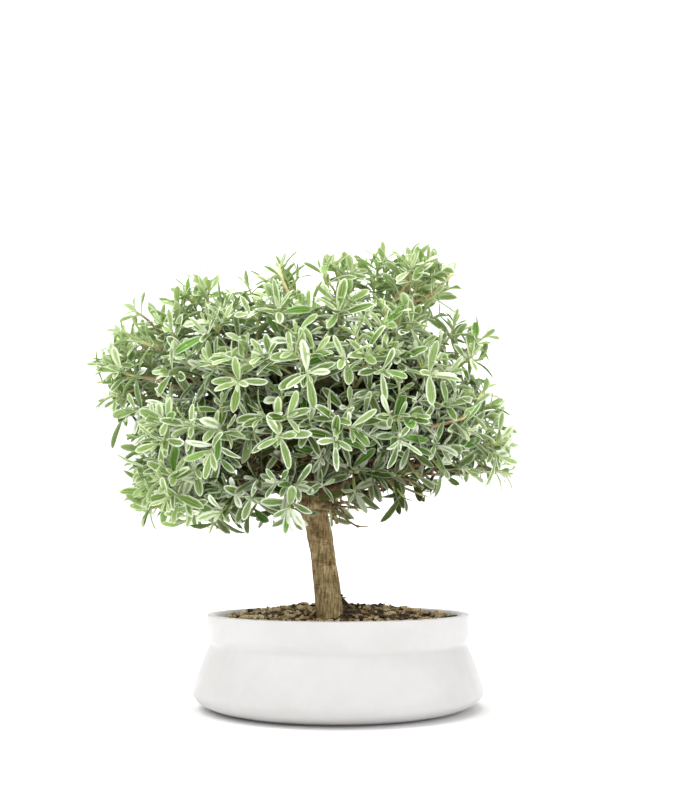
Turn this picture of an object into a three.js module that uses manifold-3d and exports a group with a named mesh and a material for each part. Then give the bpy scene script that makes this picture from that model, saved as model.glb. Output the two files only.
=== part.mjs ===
// A variegated coprosma grown as a bonsai: one leaning trunk under a wide head of leafy sprays,
// in a low round glazed pot filled with soil under bark chips.
// Millimetres, +Z up. The origin is the centre of the pot's flat underside, and the front looks along -Y.
import * as THREE from "three";
import { mergeVertices } from "three/addons/utils/BufferGeometryUtils.js";
import Module from "manifold-3d";

const wasm = await Module();
wasm.setup();

// Clearance between pieces that touch, and between two round faces.
const GAP = 0.3;
const ROUND_GAP = 0.35;

// The pot: its wall as rings of [radius, height], from the foot up the outside, over the rim and down inside.
const POT_HEIGHT = 78;
const POT_FLOOR = 8;
const POT_SIDES = 32;
const POT_OUTSIDE = [
  [96, 0],
  [111, 2.5],
  [120.5, 7.5],
  [124.5, 13.5],
  [118.3, 33],
  [109.5, 55],
  [111.6, 62],
  [112.7, 71],
];
const POT_RIM = [
  [113.2, 76.9],
  [111, POT_HEIGHT],
  [105.8, 76.6],
];
const POT_INSIDE = [
  [101.6, 55],
  [116.2, 15],
  [107, POT_FLOOR],
];
const DRAIN_HOLE = { radius: 13, offset: 55, sides: 16, plug: 3 * POT_FLOOR };

// The plastic mesh pads that keep the soil out of the drain holes.
const MESH_PAD = { width: 36, thickness: 1.2, openings: 4, opening: 6, bar: 2.4 };

// The soil: its height where it meets the pot, how far it stays inside the pot's wall (at the foot,
// the belly and above), the rings of its top, and its mound with broad and fine waves in it. From `bank`
// on the front of the trunk to `bank` behind it the mound grows from a share `low` to its full rise.
const SOIL_EDGE = 71;
const SOIL_INSET = { foot: 1, belly: 0.45, wall: ROUND_GAP };
const SOIL_RINGS = [90, 72, 52, 30];
const MOUND = { rise: 14.5, reach: 109.5, power: 0.65, edge: 0.94, sunk: 1.6, low: 0.08, bank: [-30, 42] };
const WAVES = { broad: 1.1, broadSize: [11, 13], fine: 0.85, fineSize: [6, 8] };

// The flat bark chips on the soil: a spiral of them round the trunk, shifted, sized and turned at random.
const CHIPS = {
  count: 34,
  nearest: 25,
  farthest: 92,
  turnStep: 2.4,
  shift: 4,
  size: [13, 8, 3.4],
  sizeSpread: 0.25,
  tilt: 0.15,
  proud: 0.5,
  seed: 41,
};

// The trunk as [x, y, z, radius], from the butt in the soil to the leader in the head.
const TRUNK_SIDES = 10;
const TRUNK = [
  [-5.2, 0, 34, 10.6],
  [-9.6, 0, 94, 11.6],
  [-12.6, 0.6, 118, 11],
  [-15.8, 0.4, 140, 10.9],
  [-19.6, 0, 158, 11.5],
  [-23, -0.4, 172, 12.8],
  [-26, 0, 188, 11.4],
  [-27.5, 2, 210, 8],
  [-28, 5, 240, 5.5],
];

// The head: the middle and half-widths of the egg shape that its sprays fill.
const HEAD_MIDDLE = new THREE.Vector3(-32, 0, 252);
const HEAD_REACH = new THREE.Vector3(185, 130, 135);

// The boughs: each one's points, its thickness at both ends, and the tips of the sprays that it feeds.
const BOUGHS = {
  left_low: {
    points: [[-24, -2, 176], [-58, -12, 192], [-88, -18, 204], [-112, -20, 214]],
    radius: [6.2, 2.6],
    tips: [
      [-190, -6, 266], [-168, -24, 220], [-174, 22, 192],
      [-160, -36, 180], [-92, -52, 180], [-134, 30, 178],
    ],
  },
  left_high: {
    points: [[-26, 2, 192], [-62, 12, 232], [-100, 12, 264], [-142, 0, 288]],
    radius: [5.4, 2.4],
    tips: [[-200, -10, 294], [-194, 26, 322], [-158, -24, 328]],
  },
  top_left: {
    points: [[-27, 3, 206], [-48, 8, 252], [-76, 8, 296], [-104, -4, 322]],
    radius: [5, 2.4],
    tips: [[-134, 4, 360], [-98, -24, 348], [-104, -66, 322], [-130, -62, 290]],
  },
  top_mid: {
    points: [[-28, 5, 232], [-26, 6, 276], [-18, 2, 316], [-14, 0, 344]],
    radius: [4.8, 2.2],
    tips: [[-52, 8, 382], [0, -10, 383], [-52, -80, 332], [2, -84, 334], [-28, 66, 350]],
  },
  top_right: {
    points: [[-27, 2, 200], [4, 6, 250], [34, 4, 298], [52, 2, 330]],
    radius: [5.2, 2.4],
    tips: [[44, 16, 394], [76, -22, 384], [90, 18, 384], [74, -18, 322], [52, -72, 328]],
  },
  right_high: {
    points: [[-25, 0, 190], [18, -6, 226], [60, -6, 252], [92, 2, 268]],
    radius: [5.4, 2.4],
    tips: [[118, -4, 314], [132, 14, 260], [96, -62, 252], [106, 58, 236]],
  },
  right_low: {
    points: [[-23, -2, 176], [20, -16, 193], [50, -20, 200], [72, -16, 204]],
    radius: [5.6, 2.4],
    tips: [
      [142, -22, 226], [132, 16, 224], [104, -26, 218],
      [74, 30, 200], [52, -52, 194], [86, -66, 216],
    ],
  },
  front_left: {
    points: [[-27, -4, 184], [-46, -28, 206], [-66, -48, 226]],
    radius: [4.6, 2.4],
    tips: [[-146, -72, 236], [-140, -66, 190], [-98, -100, 228], [-42, -84, 184], [-78, -106, 280]],
  },
  front_right: {
    points: [[-23, -5, 182], [-10, -32, 206], [6, -52, 228]],
    radius: [4.6, 2.4],
    tips: [
      [-48, -114, 234], [2, -112, 230], [48, -98, 236], [18, -80, 196],
      [-28, -118, 284], [26, -108, 286], [72, -82, 286],
    ],
  },
  back_left: {
    points: [[-28, 4, 186], [-50, 28, 208], [-68, 44, 226]],
    radius: [4.6, 2.4],
    tips: [[-124, 74, 196], [-144, 74, 250], [-84, 108, 242], [-112, 78, 302], [-54, 102, 300]],
  },
  back_right: {
    points: [[-24, 4, 188], [0, 32, 210], [22, 48, 230]],
    radius: [4.6, 2.4],
    tips: [[0, 92, 190], [-20, 116, 244], [46, 102, 244], [8, 104, 300], [66, 78, 302]],
  },
};
// How a bough thins along its length, and its sides.
const BOUGH = { taper: 0.8, sides: 6 };

// The twigs from the boughs to the sprays. Each leaves its bough past `nearest` where the way is short,
// a sharp turn counting as that many millimetres more, and runs straight in line with its spray at last.
const TWIG = { radius: [1.9, 1.45], sides: 3, nearest: 0.3, step: 0.05, turnCost: 30, lead: 0.35 };

// A sawn stub on the front of the fork and a thin bare twig beside it, as [x, y, z, radius].
const STUB_SIDES = 6;
const STUB = [
  [-20, -6, 176, 3],
  [-9, -15, 169, 2.9],
  [-5.5, -17, 158, 2.6],
];
const BARE_TWIG_SIDES = 4;
const BARE_TWIG = [
  [-14, -8, 178, 1.5],
  [4, -16, 172, 1.4],
  [9, -18, 162, 1.2],
  [26, -20, 151, 1],
];

// A spray: one stem that curves up to its tip. Sizes that vary state by how much in a spread of their own.
const STEM = {
  length: 56,
  lengthSpread: 8,
  lift: 0.42,
  lowest: -0.3,
  bow: 0.3,
  wayward: 0.12,
  turnSpread: 25,
  radius: [1.45, 1.05],
  pairs: 7,
};
// Its side shoots leave it in opposite pairs: a long pair low down and a shorter one higher up.
const SHOOTS = [
  { at: 0.33, quarters: 0, length: 37, pairs: 5, low: true },
  { at: 0.33, quarters: 2, length: 37, pairs: 5, low: true },
  { at: 0.63, quarters: 1, length: 27, pairs: 4, low: false },
  { at: 0.63, quarters: 3, length: 27, pairs: 4, low: false },
];
const SHOOT = { lean: 46, leanSpread: 7, turnSpread: 10, lengthSpread: 0.14, lift: 0.12, radius: [1.2, 1.0] };
// Where the solid stem is ringed: below and above its fork, and once more before its end.
const FORK_RINGS = [0.3, 0.36, 0.68];

// Leaves stand in opposite pairs, each pair turned a quarter from its neighbour. From a shoot's tip down:
// how far behind the tip each pair stands, how long its leaves are and how far they lean out from the shoot.
const PAIRS = [
  { behind: 0.6, length: 11, lean: 20 },
  { behind: 2.6, length: 21, lean: 42 },
  { behind: 5.2, length: 27, lean: 60 },
  { behind: 10, length: 28, lean: 70 },
  { behind: 16, length: 27, lean: 77 },
  { behind: 22.5, length: 25, lean: 82 },
  { behind: 29.5, length: 24, lean: 85 },
];
// The pairs that the solids carry, on the four faces of a pointed bud just behind a shoot's tip.
const SOLID_PAIRS = [1, 2];
const BUD = { behind: 4.6, height: 1.1 };

// A leaf: its width for its length, its bend back in radians, its crease, and its turn towards the light.
const LEAF = {
  width: 0.32,
  widthSpread: 0.09,
  lengthSpread: 0.13,
  leanSpread: 8,
  turnSpread: 12,
  recurve: [0.15, 0.6],
  fold: 0.28,
  thickness: 1.2,
  light: 0.55,
  lightUp: 0.7,
  lightOut: 0.5,
};
// Where the corners of a solid blade lie along it: its shoulders and its thick middle.
const SHOULDERS = [0.36, 0.74];
const MIDDLE = 0.55;
// The root of a test blade: half its width, and how far it reaches below and above the leaf.
const TEST_ROOT = { half: 0.9, below: -0.6, above: 0.8, grown: 0.25, own: 0.14 };
const SEED = 700;

const UP = new THREE.Vector3(0, 0, 1);
const rad = THREE.MathUtils.degToRad;
const lerp = THREE.MathUtils.lerp;
const point = (p) => new THREE.Vector3(p[0], p[1], p[2]);

// Random draws from 0 to 1 that repeat for the same seed.
function seeded(seed) {
  let state = seed | 0;
  return () => {
    state = (state + 0x6d2b79f5) | 0;
    let t = Math.imul(state ^ (state >>> 15), 1 | state);
    t = (t + Math.imul(t ^ (t >>> 7), 61 | t)) ^ t;
    return ((t ^ (t >>> 14)) >>> 0) / 4294967296;
  };
}

// A closed geometry as a solid, with its doubled vertices merged and its empty faces left out.
function solid(geometry) {
  const bare = geometry.clone();
  bare.deleteAttribute("normal");
  bare.deleteAttribute("uv");
  const merged = mergeVertices(bare, 1e-4);
  const index = merged.index.array;
  const kept = [];
  for (let i = 0; i < index.length; i += 3) {
    const [a, b, c] = [index[i], index[i + 1], index[i + 2]];
    if (a !== b && b !== c && c !== a) kept.push(a, b, c);
  }
  const mesh = new wasm.Mesh({
    numProp: 3,
    vertProperties: new Float32Array(merged.attributes.position.array),
    triVerts: new Uint32Array(kept),
  });
  return new wasm.Manifold(mesh);
}

// The geometry of a solid, for a THREE.Mesh.
function geometryOf(made) {
  const mesh = made.getMesh();
  const geometry = new THREE.BufferGeometry();
  geometry.setAttribute("position", new THREE.BufferAttribute(new Float32Array(mesh.vertProperties), 3));
  geometry.setIndex(new THREE.BufferAttribute(new Uint32Array(mesh.triVerts), 1));
  geometry.computeVertexNormals();
  return geometry;
}

function surface(vertices, faces) {
  const geometry = new THREE.BufferGeometry();
  const places = vertices.flatMap((v) => v.toArray());
  geometry.setAttribute("position", new THREE.Float32BufferAttribute(places, 3));
  geometry.setIndex(faces);
  return geometry;
}

// A tapered stem along a line of points, with flat ends square to it or to the ways given for them.
function stem(points, radii, sides, firstWay = null, lastWay = null) {
  const last = points.length - 1;
  const wayAt = (i) => {
    if (i === 0 && firstWay) return firstWay.clone();
    if (i === last && lastWay) return lastWay.clone();
    return points[Math.min(i + 1, last)].clone().sub(points[Math.max(i - 1, 0)]).normalize();
  };
  const vertices = [];
  let across = null;
  points.forEach((at, i) => {
    const along = wayAt(i);
    if (!across) across = new THREE.Vector3(-along.z, 0, along.x);
    if (across.length() < 0.1) across.set(1, 0, 0);
    across.addScaledVector(along, -across.dot(along)).normalize();
    const up = along.clone().cross(across);
    for (let k = 0; k < sides; k++) {
      const turn = (2 * Math.PI * k) / sides;
      const spoke = across.clone().multiplyScalar(Math.cos(turn)).addScaledVector(up, Math.sin(turn));
      vertices.push(at.clone().addScaledVector(spoke, radii[i]));
    }
  });
  const faces = [];
  for (let i = 0; i < last; i++)
    for (let k = 0; k < sides; k++) {
      const a = i * sides + k;
      const b = i * sides + ((k + 1) % sides);
      faces.push(a, b, b + sides, a, b + sides, a + sides);
    }
  for (let k = 1; k < sides - 1; k++) {
    faces.push(0, k + 1, k);
    faces.push(last * sides, last * sides + k, last * sides + k + 1);
  }
  return surface(vertices, faces);
}

// The same, from a list of [x, y, z, radius], made thicker by a clearance.
function limb(list, sides, clearance = 0) {
  return stem(
    list.map(point),
    list.map((p) => p[3] + clearance),
    sides,
  );
}

function boxAt(size, centre, rotation = [0, 0, 0]) {
  const geometry = new THREE.BoxGeometry(...size);
  const turn = new THREE.Matrix4().makeRotationFromEuler(new THREE.Euler(...rotation, "ZYX"));
  return geometry.applyMatrix4(turn).translate(...centre);
}

function lathe(profile) {
  const geometry = new THREE.LatheGeometry(
    profile.map(([r, z]) => new THREE.Vector2(r, z)),
    POT_SIDES,
  );
  return geometry.rotateX(Math.PI / 2);
}

function makePot() {
  const wall = solid(lathe([[0, 0], ...POT_OUTSIDE, ...POT_RIM, ...POT_INSIDE, [0, POT_FLOOR]]));
  const holes = [-1, 1].map((side) => {
    const { radius, offset, sides, plug } = DRAIN_HOLE;
    const round = new THREE.CylinderGeometry(radius, radius, plug, sides);
    return solid(round.rotateX(Math.PI / 2).translate(side * offset, 0, 0));
  });
  return holes.reduce((made, hole) => made.subtract(hole), wall);
}

// A square pad with rows of square openings, lying on the pot's floor over a drain hole.
function makeMeshPad() {
  const { width, thickness, openings, opening, bar } = MESH_PAD;
  let pad = solid(boxAt([width, width, thickness], [0, 0, thickness / 2]));
  const place = (i) => (i - (openings - 1) / 2) * (opening + bar);
  for (let i = 0; i < openings; i++)
    for (let k = 0; k < openings; k++)
      pad = pad.subtract(solid(boxAt([opening, opening, 3 * thickness], [place(i), place(k), 0])));
  return pad;
}

// The height of the soil at a place, before its chips: a mound, low in front, with low waves in it.
function soilHeight(x, y) {
  const r = Math.min(Math.hypot(x, y) / MOUND.reach, MOUND.edge);
  const inward = 1 - r * r;
  const banked = lerp(MOUND.low, 1, THREE.MathUtils.smoothstep(y, ...MOUND.bank));
  const { broad, broadSize, fine, fineSize } = WAVES;
  const waves =
    broad * Math.sin(x / broadSize[0] + 1) * Math.cos(y / broadSize[1]) +
    fine * Math.sin(x / fineSize[0] - y / fineSize[1]);
  return SOIL_EDGE + MOUND.rise * banked * inward ** MOUND.power - MOUND.sunk + waves * inward;
}

// The soil's outline as rings of [radius, height]. Those of its top follow the mound and state no height.
function soilRings() {
  const [neck, belly, floor] = POT_INSIDE;
  const rim = POT_RIM.at(-1);
  const edge = lerp(neck[0], rim[0], (SOIL_EDGE - neck[1]) / (rim[1] - neck[1]));
  return [
    [floor[0] - SOIL_INSET.foot, POT_FLOOR + GAP],
    [belly[0] - SOIL_INSET.belly, belly[1]],
    [neck[0] - SOIL_INSET.wall, neck[1]],
    [edge - SOIL_INSET.wall, SOIL_EDGE],
    ...SOIL_RINGS.map((r) => [r, null]),
  ];
}

// The soil without its chips: rings of points joined by faces, closed by a fan at the foot and at the top.
function soilBody() {
  const rings = soilRings();
  const vertices = [new THREE.Vector3(0, 0, POT_FLOOR + GAP)];
  for (const [r, z] of rings)
    for (let k = 0; k < POT_SIDES; k++) {
      const turn = (2 * Math.PI * k) / POT_SIDES;
      const [x, y] = [r * Math.sin(turn), -r * Math.cos(turn)];
      vertices.push(new THREE.Vector3(x, y, z ?? soilHeight(x, y)));
    }
  vertices.push(new THREE.Vector3(0, 0, soilHeight(0, 0)));
  const faces = [];
  const start = (i) => 1 + i * POT_SIDES;
  const lastRing = rings.length - 1;
  for (let k = 0; k < POT_SIDES; k++) {
    const next = (k + 1) % POT_SIDES;
    faces.push(0, start(0) + next, start(0) + k);
    for (let i = 0; i < lastRing; i++) {
      const [a, b] = [start(i) + k, start(i) + next];
      const [c, d] = [start(i + 1) + next, start(i + 1) + k];
      faces.push(a, b, c, a, c, d);
    }
    faces.push(start(lastRing) + k, start(lastRing) + next, vertices.length - 1);
  }
  return solid(surface(vertices, faces));
}

// Flat pieces of bark, half sunk in the soil.
function barkChips() {
  const draw = seeded(CHIPS.seed);
  const spread = (amount) => amount * (2 * draw() - 1);
  const chips = [];
  for (let i = 0; i < CHIPS.count; i++) {
    const share = Math.sqrt((i + 0.5) / CHIPS.count);
    const r = lerp(CHIPS.nearest, CHIPS.farthest, share) + spread(CHIPS.shift / 2);
    const turn = i * CHIPS.turnStep + draw();
    const [x, y] = [r * Math.cos(turn) + TRUNK[0][0], r * Math.sin(turn)];
    const size = CHIPS.size.map((length) => length * (1 + spread(CHIPS.sizeSpread)));
    const spin = [spread(CHIPS.tilt), spread(CHIPS.tilt), Math.PI * draw()];
    chips.push(solid(boxAt(size, [x, y, soilHeight(x, y) + CHIPS.proud], spin)));
  }
  return chips;
}

// The soil with its chips, a plain hole for the trunk's butt and a recess over each mesh pad.
function makeSoil() {
  const made = barkChips().reduce((body, chip) => body.add(chip), soilBody());
  const [[x, y, z, radius], ...above] = TRUNK.slice(0, 3);
  const hole = solid(limb([[x, y, z - GAP, radius], ...above], TRUNK_SIDES, ROUND_GAP));
  const width = MESH_PAD.width + 2 * GAP;
  const height = MESH_PAD.thickness + 2 * GAP;
  const recesses = [-1, 1].map((side) =>
    solid(boxAt([width, width, 2 * height], [side * DRAIN_HOLE.offset, 0, POT_FLOOR])),
  );
  return [hole, ...recesses].reduce((body, cut) => body.subtract(cut), made);
}

// The way that points out of a shoot at an angle round it.
function around(shoot, along, degrees) {
  const across = shoot.zero.clone().addScaledVector(along, -shoot.zero.dot(along)).normalize();
  const over = along.clone().cross(across);
  return across.multiplyScalar(Math.cos(rad(degrees))).addScaledVector(over, Math.sin(rad(degrees)));
}

// The plan of one spray: its stem, its side shoots and every leaf on them, from its tip and a seed.
function planSpray(tip, seed) {
  const draw = seeded(seed);
  const spread = (amount) => amount * (2 * draw() - 1);
  const out = tip.clone().sub(HEAD_MIDDLE).divide(HEAD_REACH).divide(HEAD_REACH).normalize();
  out.z = Math.max(out.z, STEM.lowest);
  const heading = out.clone().addScaledVector(UP, STEM.lift);
  heading.add(point([spread(STEM.wayward), spread(STEM.wayward), spread(STEM.wayward)])).normalize();
  const length = STEM.length + spread(STEM.lengthSpread);
  const middle = tip.clone().addScaledVector(heading, -length / 2);
  const rise = heading.clone().addScaledVector(UP, -STEM.bow).normalize();
  const base = middle.clone().addScaledVector(rise, -length / 2);
  const main = {
    curve: new THREE.QuadraticBezierCurve3(base, middle, tip),
    length,
    pairs: STEM.pairs,
    radius: STEM.radius,
    zero: UP.clone().cross(heading).normalize(),
    quarter: spread(STEM.turnSpread),
    low: true,
  };
  const shoots = [main, ...SHOOTS.map((kind) => planShoot(main, kind, spread))];
  const leaves = [];
  shoots.forEach((shoot, s) => {
    for (let k = 0; k < shoot.pairs; k++)
      for (const half of [0, 2]) leaves.push(planLeaf(shoot, s, k, (k + half) % 4, out, spread));
  });
  return { base, heading: rise, shoots, leaves };
}

// One side shoot: a straight one that leans out from the stem it leaves.
function planShoot(main, { at, quarters, length: full, pairs, low }, spread) {
  const from = main.curve.getPoint(at);
  const along = main.curve.getTangent(at);
  const away = around(main, along, main.quarter + 90 * quarters + spread(SHOOT.turnSpread));
  const lean = rad(SHOOT.lean + spread(SHOOT.leanSpread));
  const way = along.clone().multiplyScalar(Math.cos(lean)).addScaledVector(away, Math.sin(lean));
  way.addScaledVector(UP, SHOOT.lift).normalize();
  const length = full * (1 + spread(SHOOT.lengthSpread));
  const curve = new THREE.LineCurve3(from, from.clone().addScaledVector(way, length));
  const zero = along.clone().addScaledVector(way, -along.dot(way)).normalize();
  const quarter = spread(STEM.turnSpread);
  return { curve, length, pairs, radius: SHOOT.radius, zero, quarter, quarters, low };
}

// One leaf: where it leaves the shoot, the way it points and faces, and its size.
function planLeaf(shoot, s, k, quarters, out, spread) {
  const pair = PAIRS[k];
  const at = 1 - pair.behind / shoot.length;
  const along = shoot.curve.getTangent(at).normalize();
  const away = around(shoot, along, shoot.quarter + 90 * quarters + spread(LEAF.turnSpread));
  const lean = rad(pair.lean + spread(LEAF.leanSpread));
  const points = along.clone().multiplyScalar(Math.cos(lean)).addScaledVector(away, Math.sin(lean));
  const faces = along.clone().multiplyScalar(Math.sin(lean)).addScaledVector(away, -Math.cos(lean));
  const light = UP.clone().multiplyScalar(LEAF.lightUp).addScaledVector(out, LEAF.lightOut);
  light.addScaledVector(points, -light.dot(points));
  faces.addScaledVector(light, LEAF.light).normalize();
  const length = pair.length * (1 + spread(LEAF.lengthSpread));
  const width = length * LEAF.width * (1 + spread(LEAF.widthSpread));
  const recurve = lerp(...LEAF.recurve, 0.5 + spread(0.5));
  return { root: shoot.curve.getPoint(at), points, faces, length, width, recurve, s, k, quarters };
}

// Half the width of a leaf of width 1, from its root through its widest place to its blunt tip.
function leafOutline(s) {
  return 0.5 * Math.sin(Math.PI * s ** 1.35) ** 0.8;
}

// A place on a leaf that is creased along its middle and bent back: along it, across it and above it.
function leafPoint({ root, points, faces, length, recurve }, s, across, lift) {
  const bend = recurve * s;
  const reach = length / recurve;
  const side = faces.clone().cross(points);
  const normal = faces.clone().multiplyScalar(Math.cos(bend)).addScaledVector(points, Math.sin(bend));
  return root
    .clone()
    .addScaledVector(points, reach * Math.sin(bend))
    .addScaledVector(faces, -reach * (1 - Math.cos(bend)))
    .addScaledVector(side, across)
    .addScaledVector(normal, lift + LEAF.fold * Math.abs(across));
}

// The corners of a blade past its root: its shoulders, its tip, and its middle above and below.
function bladeCorners(leaf, grown = 0) {
  const edge = (s, sign) => leafPoint(leaf, s, sign * (leaf.width * leafOutline(s) + grown), 0);
  const half = LEAF.thickness / 2 + grown;
  const [low, high] = SHOULDERS;
  return [
    edge(low, -1),
    edge(high, -1),
    leafPoint(leaf, 1 + grown / leaf.length, 0, 0),
    edge(high, 1),
    edge(low, 1),
    leafPoint(leaf, MIDDLE, 0, half),
    leafPoint(leaf, MIDDLE, 0, -half),
  ];
}

// The faces of a blade: fans round its middle above and below. left, right and top are its root's corners.
function bladeFaces(left, right, top, first) {
  const outline = [left, first, first + 1, first + 2, first + 3, first + 4, right];
  const [above, below] = [first + 5, first + 6];
  const faces = [];
  outline.forEach((a, i) => {
    const b = outline[i + 1] ?? top;
    faces.push(above, a, b);
    faces.push(below, i < outline.length - 1 ? b : left, a);
  });
  faces.push(above, top, left);
  return faces;
}

// A blade by itself from a place along it, a little larger all round, to test what it would touch.
function testBlade(leaf, start) {
  const { half, below, above, grown } = TEST_ROOT;
  const roots = [leafPoint(leaf, start, -half, below), leafPoint(leaf, start, half, below)];
  roots.push(leafPoint(leaf, start, 0, above));
  const faces = [...bladeFaces(0, 1, 2, 3), 0, 2, 1];
  return solid(surface([...roots, ...bladeCorners(leaf, grown)], faces));
}

// How far along a shoot its solid's bud stands.
const endOf = (shoot) => 1 - BUD.behind / shoot.length;

// A spray's solid: the main stem and the low pair of side shoots, four-sided and grown into one skin.
// Each shoot ends in a pointed bud whose four faces may carry a leaf each.
function growSpray({ base, heading, shoots }, leaves) {
  const vertices = [];
  const faces = [];
  const ring = (shoot, at, along, radius) => {
    const first = vertices.length;
    for (let k = 0; k < 4; k++)
      vertices.push(at.clone().addScaledVector(around(shoot, along, shoot.quarter - 45 + 90 * k), radius));
    return [first, first + 1, first + 2, first + 3];
  };
  const band = (lower, upper, open = []) => {
    for (let k = 0; k < 4; k++) {
      const next = (k + 1) % 4;
      if (!open.includes(k)) faces.push(lower[k], lower[next], upper[next], lower[k], upper[next], upper[k]);
    }
  };
  const bud = (shoot, s, top, along) => {
    const tip = vertices.length;
    vertices.push(shoot.curve.getPoint(endOf(shoot)).addScaledVector(along, BUD.height));
    for (let k = 0; k < 4; k++) {
      const [left, right] = [top[k], top[(k + 1) % 4]];
      const leaf = leaves.find((l) => l.s === s && l.quarters === k);
      if (leaf) {
        faces.push(...bladeFaces(left, right, tip, vertices.length));
        vertices.push(...bladeCorners(leaf));
      } else faces.push(left, right, tip);
    }
  };
  const main = shoots[0];
  const stations = [...FORK_RINGS, endOf(main)];
  const start = base.clone().addScaledVector(heading, GAP / 2);
  const rings = [ring(main, start, heading, main.radius[0])];
  for (const t of stations)
    rings.push(ring(main, main.curve.getPoint(t), main.curve.getTangent(t), lerp(...main.radius, t)));
  faces.push(0, 2, 1, 0, 3, 2);
  const low = shoots.filter((shoot) => shoot.low && shoot !== main);
  const forks = low.map((shoot) => shoot.quarters);
  rings.slice(1).forEach((upper, i) => band(rings[i], upper, i === 1 ? forks : []));
  bud(main, 0, rings.at(-1), main.curve.getTangent(endOf(main)));
  for (const shoot of low) {
    const [k, next] = [shoot.quarters, (shoot.quarters + 1) % 4];
    const root = [rings[2][next], rings[2][k], rings[1][k], rings[1][next]];
    const along = shoot.curve.getTangent(1);
    const top = ring(shoot, shoot.curve.getPoint(endOf(shoot)), along, shoot.radius[1]);
    band(root, top);
    bud(shoot, shoots.indexOf(shoot), top, along);
  }
  return solid(surface(vertices, faces));
}

// Whether two solids share any space.
const touches = (a, b) => {
  const [p, q] = [a.boundingBox(), b.boundingBox()];
  if ([0, 1, 2].some((i) => p.max[i] < q.min[i] || q.max[i] < p.min[i])) return false;
  return a.intersect(b).volume() > 0;
};

// The line of a twig: from the bough that feeds it to the root of the spray's stem.
function twigLine(bough, plan) {
  const curve = new THREE.CatmullRomCurve3(bough.points.map(point));
  let best = null;
  const tries = Math.round((1 - TWIG.nearest) / TWIG.step);
  for (let i = 0; i <= tries; i++) {
    const u = lerp(TWIG.nearest, 1, i / tries);
    const from = curve.getPoint(u);
    const way = plan.base.clone().sub(from);
    const turning = 1 - way.clone().normalize().dot(curve.getTangent(u));
    const cost = way.length() + TWIG.turnCost * turning;
    if (!best || cost < best.cost) best = { cost, from, long: way.length() };
  }
  const end = plan.base.clone().addScaledVector(plan.heading, -GAP / 2);
  const before = end.clone().addScaledVector(plan.heading, -TWIG.lead * best.long);
  const line = new THREE.QuadraticBezierCurve3(best.from, before, end);
  return [line.getPoint(0), line.getPoint(0.5), end];
}

// The trunk, the boughs, the twigs and the stub, joined into one piece of wood.
function makeWood(sprays) {
  const limbs = [limb(TRUNK, TRUNK_SIDES)];
  for (const { points, radius } of Object.values(BOUGHS)) {
    const last = points.length - 1;
    const list = points.map((p, i) => [...p, lerp(...radius, (i / last) ** BOUGH.taper)]);
    limbs.push(limb(list, BOUGH.sides));
  }
  const radii = [0, 0.5, 1].map((t) => lerp(...TWIG.radius, t));
  for (const { twig, plan } of sprays) limbs.push(stem(twig, radii, TWIG.sides, null, plan.heading));
  limbs.push(limb(STUB, STUB_SIDES), limb(BARE_TWIG, BARE_TWIG_SIDES));
  return limbs.map(solid).reduce((made, body) => made.add(body));
}

// Every spray: first all stems, which have to stand clear of each other and of the wood,
// and then the leaves, where a leaf that would touch another piece or leaf is left off.
function makeSprays() {
  const sprays = [];
  for (const [bough, { tips }] of Object.entries(BOUGHS))
    tips.forEach((tip, i) => {
      const plan = planSpray(point(tip), SEED + sprays.length);
      sprays.push({ name: `spray_${bough}_${i + 1}`, plan, twig: twigLine(BOUGHS[bough], plan) });
    });
  const wood = makeWood(sprays);
  const placed = [{ owner: { name: "wood" }, body: wood }];
  for (const spray of sprays) {
    const body = growSpray(spray.plan, []);
    const hit = placed.find((other) => touches(body, other.body));
    if (hit) throw new Error(`${spray.name} crosses ${hit.owner.name}: move its tip`);
    placed.push({ owner: spray, body });
  }
  for (const spray of sprays) {
    const grown = [];
    const fits = (body, outer) =>
      placed.every((other) =>
        other.owner === spray ? !other.outer || !touches(outer, other.outer) : !touches(body, other.body),
      );
    for (const leaf of spray.plan.leaves) {
      if (!spray.plan.shoots[leaf.s].low || !SOLID_PAIRS.includes(leaf.k)) continue;
      const [body, outer] = [testBlade(leaf, 0), testBlade(leaf, TEST_ROOT.own)];
      if (!fits(body, outer)) continue;
      grown.push(leaf);
      placed.push({ owner: spray, body, outer });
    }
    spray.body = growSpray(spray.plan, grown);
  }
  return { wood, sprays };
}

const FINISHES = {
  pot: { color: 0xe9e7e6, roughness: 0.28, metalness: 0 },
  mesh: { color: 0x2b2d2e, roughness: 0.6, metalness: 0 },
  soil: { color: 0x6b5a3c, roughness: 0.95, metalness: 0 },
  wood: { color: 0x7c6e4c, roughness: 0.85, metalness: 0 },
  leaf: { color: 0x8a9a6b, roughness: 0.4, metalness: 0 },
};

function named(name, made, finish) {
  const mesh = new THREE.Mesh(geometryOf(made), new THREE.MeshStandardMaterial(FINISHES[finish]));
  mesh.name = name;
  return mesh;
}

const bonsai = new THREE.Group();
bonsai.add(named("pot", makePot(), "pot"));
for (const [side, sign] of [["left", -1], ["right", 1]]) {
  const pad = named(`drain_mesh_${side}`, makeMeshPad(), "mesh");
  pad.position.set(sign * DRAIN_HOLE.offset, 0, POT_FLOOR + GAP);
  bonsai.add(pad);
}
bonsai.add(named("soil", makeSoil(), "soil"));
const { wood, sprays } = makeSprays();
bonsai.add(named("trunk_and_branches", wood, "wood"));
for (const { name, body } of sprays) bonsai.add(named(name, body, "leaf"));

export default bonsai;
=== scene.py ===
import math

import bpy
import numpy as np
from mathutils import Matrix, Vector, noise


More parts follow.
